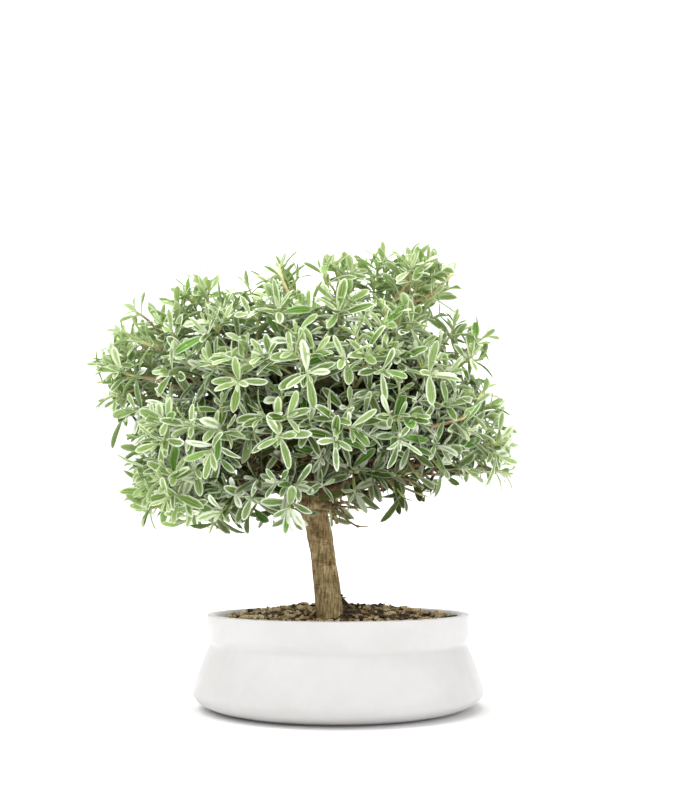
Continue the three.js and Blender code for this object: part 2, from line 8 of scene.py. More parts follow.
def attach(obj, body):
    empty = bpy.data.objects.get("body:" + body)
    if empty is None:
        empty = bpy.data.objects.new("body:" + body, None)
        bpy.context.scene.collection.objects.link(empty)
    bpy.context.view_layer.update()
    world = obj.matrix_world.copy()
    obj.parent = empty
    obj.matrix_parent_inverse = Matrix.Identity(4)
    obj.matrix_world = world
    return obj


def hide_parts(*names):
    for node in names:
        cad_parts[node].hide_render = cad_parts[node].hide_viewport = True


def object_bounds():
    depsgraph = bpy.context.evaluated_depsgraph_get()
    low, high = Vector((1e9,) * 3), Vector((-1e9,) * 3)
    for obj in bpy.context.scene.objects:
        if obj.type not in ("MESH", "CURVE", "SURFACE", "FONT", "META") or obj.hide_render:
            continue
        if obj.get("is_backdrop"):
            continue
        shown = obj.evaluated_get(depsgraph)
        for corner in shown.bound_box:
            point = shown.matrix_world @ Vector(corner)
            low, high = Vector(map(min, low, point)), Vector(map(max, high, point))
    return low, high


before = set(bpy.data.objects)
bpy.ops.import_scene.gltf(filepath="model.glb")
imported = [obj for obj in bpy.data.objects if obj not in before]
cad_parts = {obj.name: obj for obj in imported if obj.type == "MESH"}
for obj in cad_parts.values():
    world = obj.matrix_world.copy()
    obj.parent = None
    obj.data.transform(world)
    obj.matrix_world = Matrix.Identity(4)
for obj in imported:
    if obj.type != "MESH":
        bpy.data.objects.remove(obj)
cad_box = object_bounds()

# Sizes are in millimetres, and every mesh is scaled to metres as it is made.
MM = 0.001

# The camera stands in front of the pot and looks up a little.
CAMERA_PLACE = (0, -885, 130)
CAMERA_PITCH = 8.7
CAMERA_YAW = 0.65
CAMERA_LENS = 44.8

# The pot: its outer and inner outline as [radius, height], from the foot to the lip and down inside.
POT_FOOT = [(0, 1.6), (84, 1.6), (90, 1.2), (93, 0), (97, 0)]
POT_OUTSIDE = [
    (104, 0.8), (111, 2.6), (117, 5.2), (121.2, 8.4), (123.7, 12), (124.2, 15), (123.2, 19.5), (120.6, 27.5),
    (117.4, 36.5), (114.6, 43.5), (112.3, 48.5), (110.9, 51.6), (110.3, 53.6), (110.7, 55.4), (111.7, 57.4),
    (112.5, 60), (112.9, 65), (113.2, 71), (113.4, 76.5),
]
POT_LIP = [(113.3, 77.4), (112.7, 77.9), (110.5, 78), (107.9, 77.8), (106.7, 76.9), (105.9, 75)]
POT_INSIDE = [
    (103.8, 66), (101.7, 57), (102.2, 52), (107, 38), (112.6, 25), (115.4, 17), (114.6, 12), (110, 8.8),
]
POT_FLOOR = [(104, 8), (0, 8)]
POT_SIDES = 160
POT_SHARP = 38
DRAIN_HOLES = (-55, 55)
DRAIN_RADIUS = 13
DRAIN_SIDES = 48
DRAIN_BORE = (-6, 16)

# The mesh pads over the drain holes: their width, the bars in a layer, a bar's
# thickness and the heights of the two layers.
PAD_WIDTH = 36
PAD_BARS = 16
PAD_BAR = 0.75
PAD_LAYERS = (8.7, 9.15)

# The soil's mound, which grows from a low share in front to its full rise behind, its broad and fine
# waves, a small heap behind the trunk's foot, and the bark chips on it.
SOIL_EDGE = 71
MOUND = {
    "rise": 14.5, "reach": 109.5, "power": 0.65, "edge": 0.94, "sunk": 1.6, "low": 0.08, "bank": (-30, 42),
}
HEAP = {"place": (0, 13), "rise": 13, "reach": 9.5}
WAVES = {"broad": 1.1, "broad_size": (11, 13), "fine": 0.85, "fine_size": (6, 8)}
SOIL_RADIUS = 104.4
SOIL_SIDES, SOIL_RINGS, SOIL_SPREAD = 128, 54, 0.9
# Its sides and foot down in the pot as [radius, height].
SOIL_FOOT = [(101.2, 57), (101.6, 52), (106.4, 38), (112, 25), (114.6, 17), (113.6, 12.5), (103.5, 8.4)]
CRUMB = {"size": 5, "rise": 1.1, "fractal": (0.7, 2.2, 4)}
CHIPS = {
    "count": 34, "nearest": 25, "farthest": 92, "turn_step": 2.4, "shift": 4, "size": (13, 8, 3.4),
    "size_spread": 0.25, "tilt": 0.15, "proud": 0.5, "seed": 41,
}
# Small flakes: their number, how far out they lie and the share of the bed's area that stays free in the
# middle, their length, their width for it, and their thickness, tilt and lift.
SMALL_CHIPS = {
    "count": 900, "reach": 101.5, "nearest": 0.012, "length": (3.2, 13), "width": (0.45, 0.8),
    "thickness": (1.2, 2.6), "tilt": 0.3, "lift": (-0.2, 1.2),
}
# A flake's outline: its corners, how they stray and spread round it, and their reach. Its rings from the
# top down: shares of its outline and heights for its thickness, which waver a little.
FLAKE = {"sides": (6, 10), "stray": 0.35, "spread": 0.9, "reach": (0.72, 1.05), "waver": (-0.1, 0.1)}
FLAKE_RINGS = [(0.55, 0.5), (0.95, 0.26), (1.0, -0.15), (0.7, -0.5)]
# The shares of black and of tan chips past a least x and y: black behind on the right, tan elsewhere.
CHIP_SHARES = [(-4, 44, 0.96, 0.01), (-4, 4, 0.24, 0.46), (-4, -200, 0.18, 0.5), (-200, -200, 0.06, 0.66)]

# The trunk as [x, y, z, radius], from the butt in the soil to the leader in the head.
TRUNK = [
    (-5.2, 0, 34, 10.6),
    (-9.3, 0, 94, 12.1),
    (-12.6, 0.6, 118, 11.4),
    (-15.8, 0.4, 140, 10.9),
    (-19.6, 0, 158, 11.5),
    (-23, -0.4, 172, 12.8),
    (-26, 0, 188, 11.4),
    (-27.5, 2, 210, 8),
    (-28, 5, 240, 5.5),
]

# The rings and sides of each kind of limb, the fineness of the skin that makes the thick ones one, and the
# steps and strength of its smoothing.
LIMBS = {
    "trunk": (110, 40), "bough": (34, 16), "stub": (16, 14), "bare": (40, 7), "side": (26, 9),
    "leafless": (8, 6), "fork": (6, 5),
}
SKIN = {"fineness": 1.15, "smooth_steps": 4, "smooth": 0.6}
# Where the trunk swells, at the low knot and in two folds under the fork: height, reach and rise. It is drawn
# slimmer by what its bark adds.
SWELLINGS = [(143, 7, 0.55), (170, 3, 1.1), (179, 3.2, 0.9)]
BARK_SPACE = 0.3
# Creases round the trunk under the fork and at the low knot: height, reach and depth.
CREASES = [(164.6, 1.1, 1), (173.4, 1.2, 0.9), (181.5, 1.3, 0.7), (121, 0.8, 0.4), (137.5, 0.9, 0.45)]
# The bark's relief: its depth, shares of ridges, lumps, folds and creases, the sizes of the first three
# across and along the wood, and the folds' height and reach. A crease wavers with the lumps and slants.
BARK = {
    "depth": 0.5, "ridges": 0.55, "lumps": 0.9, "folds": 1.5, "creases": 0.9,
    "sizes": ((2.6, 19), (13, 15), (11, 2.6)), "fork": (182, 12), "waver": 1.6, "slant": 0.06,
    "fractal": (0.9, 2.1, 3),
}

# The head: the middle and half-widths of the egg shape that its sprays fill.
HEAD_MIDDLE = np.array((-32.0, 0, 252))
HEAD_REACH = np.array((185.0, 130, 135))

# The boughs: each one's points, its thickness at both ends, and the tips of the sprays that it feeds.
BOUGHS = {
    "left_low": {
        "points": [(-24, -2, 176), (-58, -12, 192), (-88, -18, 204), (-112, -20, 214)],
        "radius": (6.2, 2.6),
        "tips": [
            (-190, -6, 266), (-168, -24, 220), (-174, 22, 192),
            (-160, -36, 180), (-92, -52, 180), (-134, 30, 178),
        ],
    },
    "left_high": {
        "points": [(-26, 2, 192), (-62, 12, 232), (-100, 12, 264), (-142, 0, 288)],
        "radius": (5.4, 2.4),
        "tips": [(-200, -10, 294), (-194, 26, 322), (-158, -24, 328)],
    },
    "top_left": {
        "points": [(-27, 3, 206), (-48, 8, 252), (-76, 8, 296), (-104, -4, 322)],
        "radius": (5, 2.4),
        "tips": [(-134, 4, 360), (-98, -24, 348), (-104, -66, 322), (-130, -62, 290)],
    },
    "top_mid": {
        "points": [(-28, 5, 232), (-26, 6, 276), (-18, 2, 316), (-14, 0, 344)],
        "radius": (4.8, 2.2),
        "tips": [(-52, 8, 382), (0, -10, 383), (-52, -80, 332), (2, -84, 334), (-28, 66, 350)],
    },
    "top_right": {
        "points": [(-27, 2, 200), (4, 6, 250), (34, 4, 298), (52, 2, 330)],
        "radius": (5.2, 2.4),
        "tips": [(44, 16, 394), (76, -22, 384), (90, 18, 384), (74, -18, 322), (52, -72, 328)],
    },
    "right_high": {
        "points": [(-25, 0, 190), (18, -6, 226), (60, -6, 252), (92, 2, 268)],
        "radius": (5.4, 2.4),
        "tips": [(118, -4, 314), (132, 14, 260), (96, -62, 252), (106, 58, 236)],
    },
    "right_low": {
        "points": [(-23, -2, 176), (20, -16, 193), (50, -20, 200), (72, -16, 204)],
        "radius": (5.6, 2.4),
        "tips": [
            (142, -22, 226), (132, 16, 224), (104, -26, 218),
            (74, 30, 200), (52, -52, 194), (86, -66, 216),
        ],
    },
    "front_left": {
        "points": [(-27, -4, 184), (-46, -28, 206), (-66, -48, 226)],
        "radius": (4.6, 2.4),
        "tips": [(-146, -72, 236), (-140, -66, 190), (-98, -100, 228), (-42, -84, 184), (-78, -106, 280)],
    },
    "front_right": {
        "points": [(-23, -5, 182), (-10, -32, 206), (6, -52, 228)],
        "radius": (4.6, 2.4),
        "tips": [
            (-48, -114, 234), (2, -112, 230), (48, -98, 236), (18, -80, 196),
            (-28, -118, 284), (26, -108, 286), (72, -82, 286),
        ],
    },
    "back_left": {
        "points": [(-28, 4, 186), (-50, 28, 208), (-68, 44, 226)],
        "radius": (4.6, 2.4),
        "tips": [(-124, 74, 196), (-144, 74, 250), (-84, 108, 242), (-112, 78, 302), (-54, 102, 300)],
    },
    "back_right": {
        "points": [(-24, 4, 188), (0, 32, 210), (22, 48, 230)],
        "radius": (4.6, 2.4),
        "tips": [(0, 92, 190), (-20, 116, 244), (46, 102, 244), (8, 104, 300), (66, 78, 302)],
    },
}
BOUGH_TAPER = 0.8
BOUGH_FLARE = (0.22, 0.09)

# The twigs from the boughs to the sprays. Each leaves its bough past `nearest` where the way is short,
# a sharp turn counting as that many millimetres more, and runs straight in line with its spray at last.
TWIG = {
    "radius": (1.9, 1.45), "flare": (0.35, 0.08), "nearest": 0.3, "step": 0.05, "turn_cost": 30, "lead": 0.35,
    "least_rings": 6, "ring_step": 4, "sides": 8,
}

# A sawn stub on the front of the fork and thin bare twigs beside it, knobbed at their joints, all as
# [x, y, z, radius].
STUB = [(-19, -6, 177, 3), (-8, -14, 171.5, 2.7), (-4.4, -16, 163.5, 2.3), (-1, -16.5, 153.6, 2)]
BARE_TWIGS = [
    [(-14, -8, 174, 1.5), (-3, -15, 170, 1.3), (2.6, -17, 166.5, 1.1), (3.6, -17, 164.6, 1.5),
     (6.2, -17, 159, 0.95), (11.6, -17, 154.8, 0.9), (15.4, -17, 152.7, 0.9), (16.6, -17, 152.3, 1.4),
     (17.8, -17, 152.2, 0.85), (25.4, -17, 152.4, 0.6)],
    [(-15, -9, 169, 1.4), (-2, -17, 169.6, 1.2), (8.6, -20, 168.8, 1), (10, -20, 168.6, 1.4),
     (26, -22, 168.4, 0.8), (33, -22, 166, 0.5)],
    [(-13, -8, 172, 1.6), (4, -18, 172.6, 1.3), (18, -24, 174, 1.1), (32, -28, 178.5, 0.9)],
]
# More wood low in the head, where it is open and shows it.
SIDE_BOUGHS = [
    [(-20, -6, 180, 4), (14, -26, 192, 3), (46, -38, 200, 2.2), (78, -42, 205, 1.5)],
    [(-20, -8, 186, 3.6), (10, -34, 202, 2.6), (44, -50, 212, 1.9), (74, -54, 214, 1.3)],
    [(-18, -4, 176, 3.2), (18, -30, 184, 2.3), (54, -34, 196, 1.6), (88, -30, 196, 1.1)],
    [(-22, -8, 192, 3.6), (-50, -34, 198, 2.6), (-82, -46, 206, 1.8), (-108, -48, 212, 1.2)],
    [(-24, -6, 180, 3.2), (-52, -26, 184, 2.2), (-84, -34, 186, 1.6), (-116, -32, 176, 1)],
]
# Leafless twigs inside the head: how many a bough bears and where, how they lean, their sizes, and the
# same for their own forks.
LEAFLESS = {
    "count": 9, "at": (0.12, 0.95), "along": 0.8, "lift": 0.35, "side_lift": 0.9, "reach": (16, 46),
    "bend": 0.16, "radius": (0.8, 1.25), "end": 0.5, "forks": 2, "fork_at": (0.35, 0.8), "fork_turn": 0.7,
    "fork_reach": (6, 20), "fork_radius": (0.6, 0.35),
}

# A spray: one stem that curves up to its tip. Sizes that vary state by how much in a spread of their own.
STEM = {
    "length": 56, "length_spread": 8, "lift": 0.42, "lowest": -0.3, "bow": 0.3, "wayward": 0.12,
    "turn_spread": 25, "radius": (1.45, 1.05), "pairs": 7,
}
# Its side shoots leave it in opposite pairs: a long pair low down and a shorter one higher up. Others only
# fill the spray: two low ones inside it and two short ones near its tip. Each pair's place along the stem,
# quarter turns round it, length, and pairs of leaves.
SHOOTS, FILL_SHOOTS = (
    [
        {"at": at, "quarters": first + half, "length": length, "pairs": pairs}
        for at, first, length, pairs in rows for half in (0, 2)
    ]
    for rows in (((0.33, 0, 37, 5), (0.63, 1, 27, 4)), ((0.12, 1, 30, 4), (0.84, 0, 15, 3)))
)
SHOOT = {"lean": 46, "lean_spread": 7, "turn_spread": 10, "length_spread": 0.14, "lift": 0.12}
SHOOT_RADIUS = (1.2, 1.0)

# Leaves stand in opposite pairs, each pair turned a quarter from its neighbour. From a shoot's tip down:
# how far behind the tip each pair stands, how long its leaves are, how far they lean out, and their youth.
PAIRS = [
    (0.6, 11, 20, 1.0),
    (2.6, 21, 42, 0.62),
    (5.2, 27, 60, 0.3),
    (10, 28, 66, 0.1),
    (16, 27, 70, 0),
    (22.5, 25, 74, 0),
    (29.5, 24, 78, 0),
]

# The long shoots that stand out of the head: stout young stems with their pairs of leaves far apart, and
# thin brown ones. Each one's points, radius at both ends, rows of pairs as above, and how far from its tip
# its stem is ripe.
FAR_PAIRS = [
    (0.5, 9, 18, 0.9), (2.4, 15, 36, 0.7), (6, 20, 48, 0.5), (12, 22, 56, 0.3), (20, 23, 62, 0.1),
    (29, 24, 64, 0), (39, 24, 68, 0), (50, 22, 70, 0), (62, 20, 72, 0),
]
THIN_PAIRS = [(0.5, 15, 22, 0.2), (12, 17, 44, 0.1), (26, 19, 56, 0), (42, 14, 60, 0)]
STOUT, THIN, SLIM = (1.75, 1.3), (1.35, 0.7), (1.15, 0.85)
LONG_SHOOTS = [
    ([(24, -36, 327), (40, -32, 340), (57, -28, 360), (61, -24, 372), (72, -20, 396)], STOUT, FAR_PAIRS, 26),
    ([(40, -34, 336), (64, -29, 348), (81, -24, 357), (97, -19, 372), (103, -14, 379)],
     STOUT, FAR_PAIRS[:3] + FAR_PAIRS[5:7], 30),
    ([(75, -78, 231), (90, -70, 236), (105, -62, 242), (114, -54, 251), (125, -46, 269)],
     STOUT, FAR_PAIRS[:8], 60),
    ([(81, -16, 205), (104, -13, 200), (120, -10, 199), (134, -7, 202), (146, -4, 207)],
     THIN, THIN_PAIRS, 12),
    ([(88, -24, 228), (104, -21, 223), (123, -17, 221), (140, -14, 227)], THIN, THIN_PAIRS[:3], 20),
    ([(-128, -34, 266), (-155, -33, 277), (-178, -29, 282), (-206, -22, 293)], STOUT, FAR_PAIRS[:7], 40),
    ([(-150, -30, 312), (-164, -28, 328), (-173, -26, 336), (-181, -24, 341)], (1.5, 1.1), FAR_PAIRS[:4], 20),
    ([(-152, -44, 302), (-161, -42, 306), (-176, -40, 311)], (1.5, 1.2), FAR_PAIRS[:4], 24),
    ([(-64, -72, 286), (-68, -69, 301), (-68, -65, 316), (-70, -62, 335)], STOUT, FAR_PAIRS[:6], 60),
    ([(-33, -60, 316), (-39, -53, 340), (-49, -47, 363), (-52, -40, 376)], STOUT, FAR_PAIRS[:6], 60),
    ([(-113, -10, 344), (-120, -10, 359), (-128, -10, 373)], SLIM, FAR_PAIRS[:5], 40),
    ([(-70, 0, 341), (-78, 0, 358), (-84, 0, 373)], SLIM, FAR_PAIRS[:5], 40),
    ([(-167, -20, 305), (-181, -20, 316), (-193, -20, 325)], SLIM, FAR_PAIRS[:5], 40),
    ([(-177, -16, 273), (-191, -16, 268), (-205, -16, 264)], SLIM, FAR_PAIRS[:4], 40),
    ([(-37, -14, 177), (-51, -14, 168), (-65, -14, 159)], SLIM, FAR_PAIRS[1:5], 20),
    ([(1, -20, 175), (10, -20, 170), (18, -20, 165)], SLIM, FAR_PAIRS[1:4], 20),
    ([(103, -14, 208), (112, -14, 202), (119, -14, 195)], SLIM, FAR_PAIRS[1:4], 20),
    ([(123, -6, 206), (136, -6, 203), (148, -6, 199)], SLIM, FAR_PAIRS[:4], 20),
    ([(111, -6, 308), (122, -6, 316), (133, -6, 323)], SLIM, FAR_PAIRS[:4], 40),
    ([(91, -10, 309), (99, -10, 321), (105, -10, 334)], SLIM, FAR_PAIRS[:4], 40),
]
# Leafy shoots low on the right, darkened by painted shade under the head.
SHADE_PAINTED_SHOOTS = [
    ([(46, -20, 194), (64, -15, 192), (76, -10, 185)], (1.2, 0.8), FAR_PAIRS[2:5], 20),
    ([(50, -22, 188), (68, -18, 181), (78, -14, 178)], (1.2, 0.8), FAR_PAIRS[2:5], 20),
]
# The youth below zero that gives their leaves painted shade.
PAINTED_SHADE_YOUTH = -0.8

# A leaf: its width for its length, how that grows from the base and falls to the point, its bend back in
# radians, its crease, its stalk, and its turn towards the light.
LEAF = {
    "width": 0.32, "width_spread": 0.09, "length_spread": 0.13, "lean_spread": 8, "turn_spread": 12,
    "base": 0.95, "point": 0.55, "widest": 0.3732, "recurve": (0.15, 0.6), "fold": 0.28, "thickness": 0.5,
    "stalk": 0.4, "stalk_end": 0.3, "light": 0.55, "light_up": 0.7, "light_out": 0.5,
}
SEED = 700
FILL_SEED = 1000
# The seeds of the long shoots, the inner shoots of the first bough, the leaves of both, the leafless twigs
# and the chips.
SEEDS = {"long": 77, "inner": 200, "long_leaves": 400, "inner_leaves": 300, "leafless": 5, "chips": 12}

# How leaves differ beside the plan: factors for width, length and youth, tilt, roll and twist in radians,
# a bend to one side for the length, and waves along the margin in millimetres.
VARIETY = {
    "width": (0.68, 0.98), "length": (0.82, 1.1), "tilt": 0.14, "roll": 0.3, "twist": 0.45, "sway": 0.05,
    "wave": (0.1, 0.5), "waves": (5, 10), "youth": (0.7, 1.1),
}
# Painted shade darkens leaves deep in the head: how deep it starts and is full, for the head's half-width.
PAINTED_SHADE_DEPTH = (0.11, 0.34)
# Painted shade also darkens those low under its middle: the middle and half-width of that place, and
# where it starts and is full.
LOW_PAINTED_SHADE = {"middle": 38, "reach": 72, "z": (234, 196), "most": 0.9}
# Painted light on the head's lit left and top: where on x and z that starts and is full, how much of the
# painted shade it takes away there, and the youth that it adds as painted light.
PAINTED_LIGHT_SIDE = {"x": (-50, -130), "z": (270, 330), "most": 0.6, "youth": 0.2}

# Gaps in the head's outline, right through from front to back, that no leaf's tip stands in: x, z, radius.
GAPS = [
    (110, 361, 12), (-20, 369, 12), (-230, 292, 9), (-225, 263, 12), (-206, 232, 10), (-203, 208, 9),
    (133, 295, 11), (144, 244, 8), (99, 178, 11), (115, 182, 9), (70, 163, 9), (-115, 132, 17),
    (-36, 381, 9), (167, 233, 7), (-157, 136, 14), (-73, 136, 11), (-62, 392, 8), (99, 361, 8),
    (86, 332, 9), (138, 297, 11), (134, 254, 8), (114, 209, 8), (45, 163, 8), (-105, 141, 8), (-141, 144, 7),
    (-199, 351, 7), (-226, 282, 6), (-208, 244, 7), (40, 409, 5), (71, 412, 5), (116, 385, 6),
    (-4, 146, 6), (-1, 160, 4), (5, 156, 4), (-202, 224, 4), (-25, 390, 5), (-16, 364, 5), (74, 334, 4),
    (92, 341, 4), (135, 286, 4), (146, 300, 5), (131, 312, 4), (96, 194, 5),
]

# Low in the middle the head is open and its wood shows: where that is, and the share of leaves dropped.
WOODY = {"x": (-4, 84), "below": 212, "behind": -74, "dropped": 0.65}

# Short leafy shoots on the twigs inside the head: where they leave the twig, their size and how far they
# keep from the trunk.
INNER = {
    "at": (0.35, 0.62, 0.86), "length": (24, 38), "pairs": 5, "lean": (40, 75), "lift": 0.25,
    "clear": 46, "clear_below": 285, "bare": {"below": 222, "left": -44, "right": 96},
}

# Where a leaf's mesh is divided along it and across it, for leaves in sight and for those inside the head.
FINE_BLADE = np.array([0, 0.13, 0.32, 0.53, 0.73, 0.88, 0.965, 0.998]), np.array([-1, -0.68, 0, 0.68, 1])
PLAIN_BLADE = np.array([0, 0.25, 0.6, 0.88, 0.998]), np.array([-1, 0, 1])
# Stems: their sides, the rings of those over a length and of the rest, how they swell at a pair of leaves
# and narrow at the tip, how much stouter than a side shoot the yellow ones are, and how far from the tip
# they have turned from green to brown.
STEM_SIDES = 6
STEM_RINGS = {"long": 20, "over": 45, "short": 9}
STEM_KNOT = {"rise": 0.28, "reach": 0.9}
STEM_TIP = {"from": 0.98, "share": 0.6}
STOUTER = 0.3
RIPE = 56
# The rim that a tile of the leaves' texture map keeps free, and how many more tiles go across than down.
TILE_RIM = (0.06, 0.04)
TILES_ACROSS = 2.2
UP = np.array((0.0, 0, 1))
# A way that no tube sets out in, to count its turns from.
ASIDE = (0.31, 0.87, 0.38)

# The floor's run from front to back as [y, z], its half-width, and how far it lies under the pot.
FLOOR = [(-2600, 0), (900, 0), (1150, 30), (1360, 110), (1520, 250), (1610, 450), (1640, 2600)]
FLOOR_HALF = 4200
FLOOR_DROP = 0.05
# The soft lights: place, what each one faces, size and power.
SUBJECT = (-20, 0, 200)
LIGHTS = {
    "key": ((-900, -1250, 1150), SUBJECT, 1300, 4.9),
    "left": ((-950, -250, 1350), SUBJECT, 1100, 7.6),
    "right": ((1350, -650, 600), SUBJECT, 1100, 6.5),
    "top": ((-250, -50, 1900), SUBJECT, 1500, 25),
    "front": ((0, -1500, 260), (0, 0, 60), 1200, 2.3),
    "wash": ((0, 500, 2300), (0, 1640, 900), 1600, 36),
}
WORLD_LIGHT = 0.5


# Small tools for vectors, draws and curves

def unit(v):
    return v / np.linalg.norm(v)


def lerp(a, b, t):
    return a + (b - a) * t


def bump(at, middle, reach):
    """A soft rise to 1 at a middle."""
    return math.exp(-(((at - middle) / reach) ** 2))


def flare(t, rise, reach):
    """How much thicker a limb is where it leaves the wood that bears it."""
    return 1 + rise * math.exp(-t / reach)


def way_along(at, start, full):
    """How far values lie on the way from start to full, from 0 to 1."""
    return ((at - start) / (full - start)).clip(0, 1)


def ring(r, z, sides):
    """Points on a level circle round the pot's axis."""
    turns = [2 * math.pi * k / sides for k in range(sides)]
    return [(r * math.cos(turn), r * math.sin(turn), z) for turn in turns]


def drawer(seed):
    """Random draws from 0 to 1 that repeat for the same seed."""
    state = seed & 0xFFFFFFFF

    def draw():
        nonlocal state
        state = (state + 0x6D2B79F5) & 0xFFFFFFFF
        t = ((state ^ (state >> 15)) * (1 | state)) & 0xFFFFFFFF
        t = ((t + (((t ^ (t >> 7)) * (61 | t)) & 0xFFFFFFFF)) & 0xFFFFFFFF) ^ t
        return ((t ^ (t >> 14)) & 0xFFFFFFFF) / 4294967296

    return draw


def spreader(draw):
    """Draws from minus to plus an amount."""
    return lambda amount: amount * (2 * draw() - 1)


def bezier(a, b, c):
    """A curve through a and c, drawn towards b, as a function of t from 0 to 1."""
    return lambda t: a * (1 - t) ** 2 + b * (2 * t * (1 - t)) + c * t * t


def straight(start, way, length):
    return lambda t: start + way * (length * t)


def tangent(curve, t, step=1e-4):
    return unit(curve(min(1, t + step)) - curve(max(0, t - step)))


def through(points):
    """A smooth curve through points, evenly parted in t, which doesn't overshoot where they stand close."""
    p = [np.array(q, float) for q in points]
    p = [2 * p[0] - p[1], *p, 2 * p[-1] - p[-2]]
    spans = len(p) - 3

    def curve(t):
        i = min(int(t * spans), spans - 1)
        w = t * spans - i
        a, b, c, d = p[i:i + 4]
        before, here, after = (np.linalg.norm(q - r) ** 0.5 for q, r in ((b, a), (c, b), (d, c)))
        start = ((b - a) / before - (c - a) / (before + here) + (c - b) / here) * here
        end = ((c - b) / here - (d - b) / (here + after) + (d - c) / after) * here
        return (
            b + start * w + (3 * (c - b) - 2 * start - end) * w * w
            + (2 * (b - c) + start + end) * w ** 3
        )

    return curve


# Meshes

def make_object(name, points, faces, materials, smooth=True):
    """A mesh object from points in millimetres."""
    mesh = bpy.data.meshes.new(name)
    mesh.from_pydata((np.asarray(points, float) * MM).tolist(), [], faces)
    for material in materials:
        mesh.materials.append(material)
    mesh.polygons.foreach_set("use_smooth", [smooth] * len(mesh.polygons))
    piece = bpy.data.objects.new(name, mesh)
    bpy.context.scene.collection.objects.link(piece)
    return piece


def tube(centres, radii, sides):
    """Points and faces of a closed tube along centres."""
    centres = np.asarray(centres, float)
    points, faces = [], []
    across = None
    last = len(centres) - 1
    for i, at in enumerate(centres):
        along = unit(centres[min(i + 1, last)] - centres[max(i - 1, 0)])
        if across is None:
            across = np.cross(along, ASIDE)
        across = unit(across - along * (across @ along))
        over = np.cross(along, across)
        for k in range(sides):
            turn = 2 * math.pi * k / sides
            points.append(at + (across * math.cos(turn) + over * math.sin(turn)) * radii[i])
    for i in range(last):
        for k in range(sides):
            a, b = i * sides + k, i * sides + (k + 1) % sides
            faces.append((a, b, b + sides, a + sides))
    faces.append(tuple(range(sides))[::-1])
    faces.append(tuple(last * sides + k for k in range(sides)))
    return points, faces


def gather(parts):
    """Joins (points, faces) pairs into one pair."""
    points, faces = [], []
    for part_points, part_faces in parts:
        start = len(points)
        points.extend(part_points)
        faces.extend(tuple(start + i for i in face) for face in part_faces)
    return points, faces


def applied(piece):
    """Replaces the piece's mesh by what its modifiers make of it."""
    graph = bpy.context.evaluated_depsgraph_get()
    mesh = bpy.data.meshes.new_from_object(piece.evaluated_get(graph))
    old = piece.data
    piece.modifiers.clear()
    piece.data = mesh
    bpy.data.meshes.remove(old)


# Node tools

def srgb(red, green, blue):
    """A colour as shown on a screen, from 0 to 255, as the shader's linear colour."""
    shares = [c / 255 for c in (red, green, blue)]
    linear = [c / 12.92 if c <= 0.04045 else ((c + 0.055) / 1.055) ** 2.4 for c in shares]
    return (*linear, 1)


class Nodes:
    """A node tree with short ways to add and join its nodes."""

    def __init__(self, tree):
        self.tree = tree

    def add(self, kind, settings=None, **sockets):
        node = self.tree.nodes.new(kind)
        for key, value in (settings or {}).items():
            setattr(node, key, value)
        for key, value in sockets.items():
            self.feed(node.inputs[key.replace("_", " ")], value)
        return node

    def feed(self, socket, value):
        if isinstance(value, bpy.types.NodeSocket):
            self.tree.links.new(value, socket)
        else:
            socket.default_value = value

    def math(self, operation, *values, clamp=False):
        node = self.tree.nodes.new("ShaderNodeMath")
        node.operation = operation
        node.use_clamp = clamp
        for socket, value in zip(node.inputs, values):
            self.feed(socket, value)
        return node.outputs[0]

    def times(self, a, b, clamp=False):
        return self.math("MULTIPLY", a, b, clamp=clamp)

    def plus(self, a, b):
        return self.math("ADD", a, b)

    def minus(self, a, b, clamp=False):
        return self.math("SUBTRACT", a, b, clamp=clamp)

    def ramp(self, value, low, high, start=0.0, end=1.0):
        """start below low, end above high, and a smooth change between them."""
        node = self.tree.nodes.new("ShaderNodeMapRange")
        node.interpolation_type = "SMOOTHSTEP"
        for socket, v in zip(node.inputs, (value, low, high, start, end)):
            self.feed(socket, v)
        return node.outputs[0]

    def mix(self, share, a, b, blend="MIX"):
        node = self.tree.nodes.new("ShaderNodeMix")
        node.data_type = "RGBA"
        node.blend_type = blend
        for name, value in (("Factor_Float", share), ("A_Color", a), ("B_Color", b)):
            self.feed(next(s for s in node.inputs if s.identifier == name), value)
        return next(s for s in node.outputs if s.identifier == "Result_Color")

    def stretch(self, vector, factors):
        node = self.tree.nodes.new("ShaderNodeVectorMath")
        node.operation = "MULTIPLY"
        self.feed(node.inputs[0], vector)
        self.feed(node.inputs[1], factors)
        return node.outputs[0]


def group(name, inputs, outputs, build):
    """A shared effect: a node group with named inputs and outputs."""
    tree = bpy.data.node_groups.new(name, "ShaderNodeTree")
    for label, kind, value in inputs:
        socket = tree.interface.new_socket(label, in_out="INPUT", socket_type=kind)
        if value is not None:
            socket.default_value = value
    for label, kind in outputs:
        tree.interface.new_socket(label, in_out="OUTPUT", socket_type=kind)
    nodes = Nodes(tree)
    build(nodes, nodes.add("NodeGroupInput").outputs, nodes.add("NodeGroupOutput").inputs)
    return tree


FLOAT, COLOR, VECTOR = "NodeSocketFloat", "NodeSocketColor", "NodeSocketVector"


def build_mottle(nodes, given, result):
    broad = nodes.add("ShaderNodeTexNoise", Vector=given["Vector"], Scale=given["Scale"], Detail=3.0)
    fine_scale = nodes.times(given["Scale"], 4.7)
    fine = nodes.add("ShaderNodeTexNoise", Vector=given["Vector"], Scale=fine_scale, Detail=2.0)
    both = nodes.plus(nodes.times(broad.outputs[0], 0.68), nodes.times(fine.outputs[0], 0.32))
    nodes.feed(result["Mask"], nodes.ramp(both, given["Low"], given["High"]))


def build_streaks(nodes, given, result):
    drawn = nodes.stretch(given["Vector"], given["Stretch"])
    lines = nodes.add("ShaderNodeTexNoise", Vector=drawn, Scale=1.0, Detail=4.0, Roughness=0.62)
    nodes.feed(result["Mask"], nodes.ramp(lines.outputs[0], given["Low"], given["High"]))


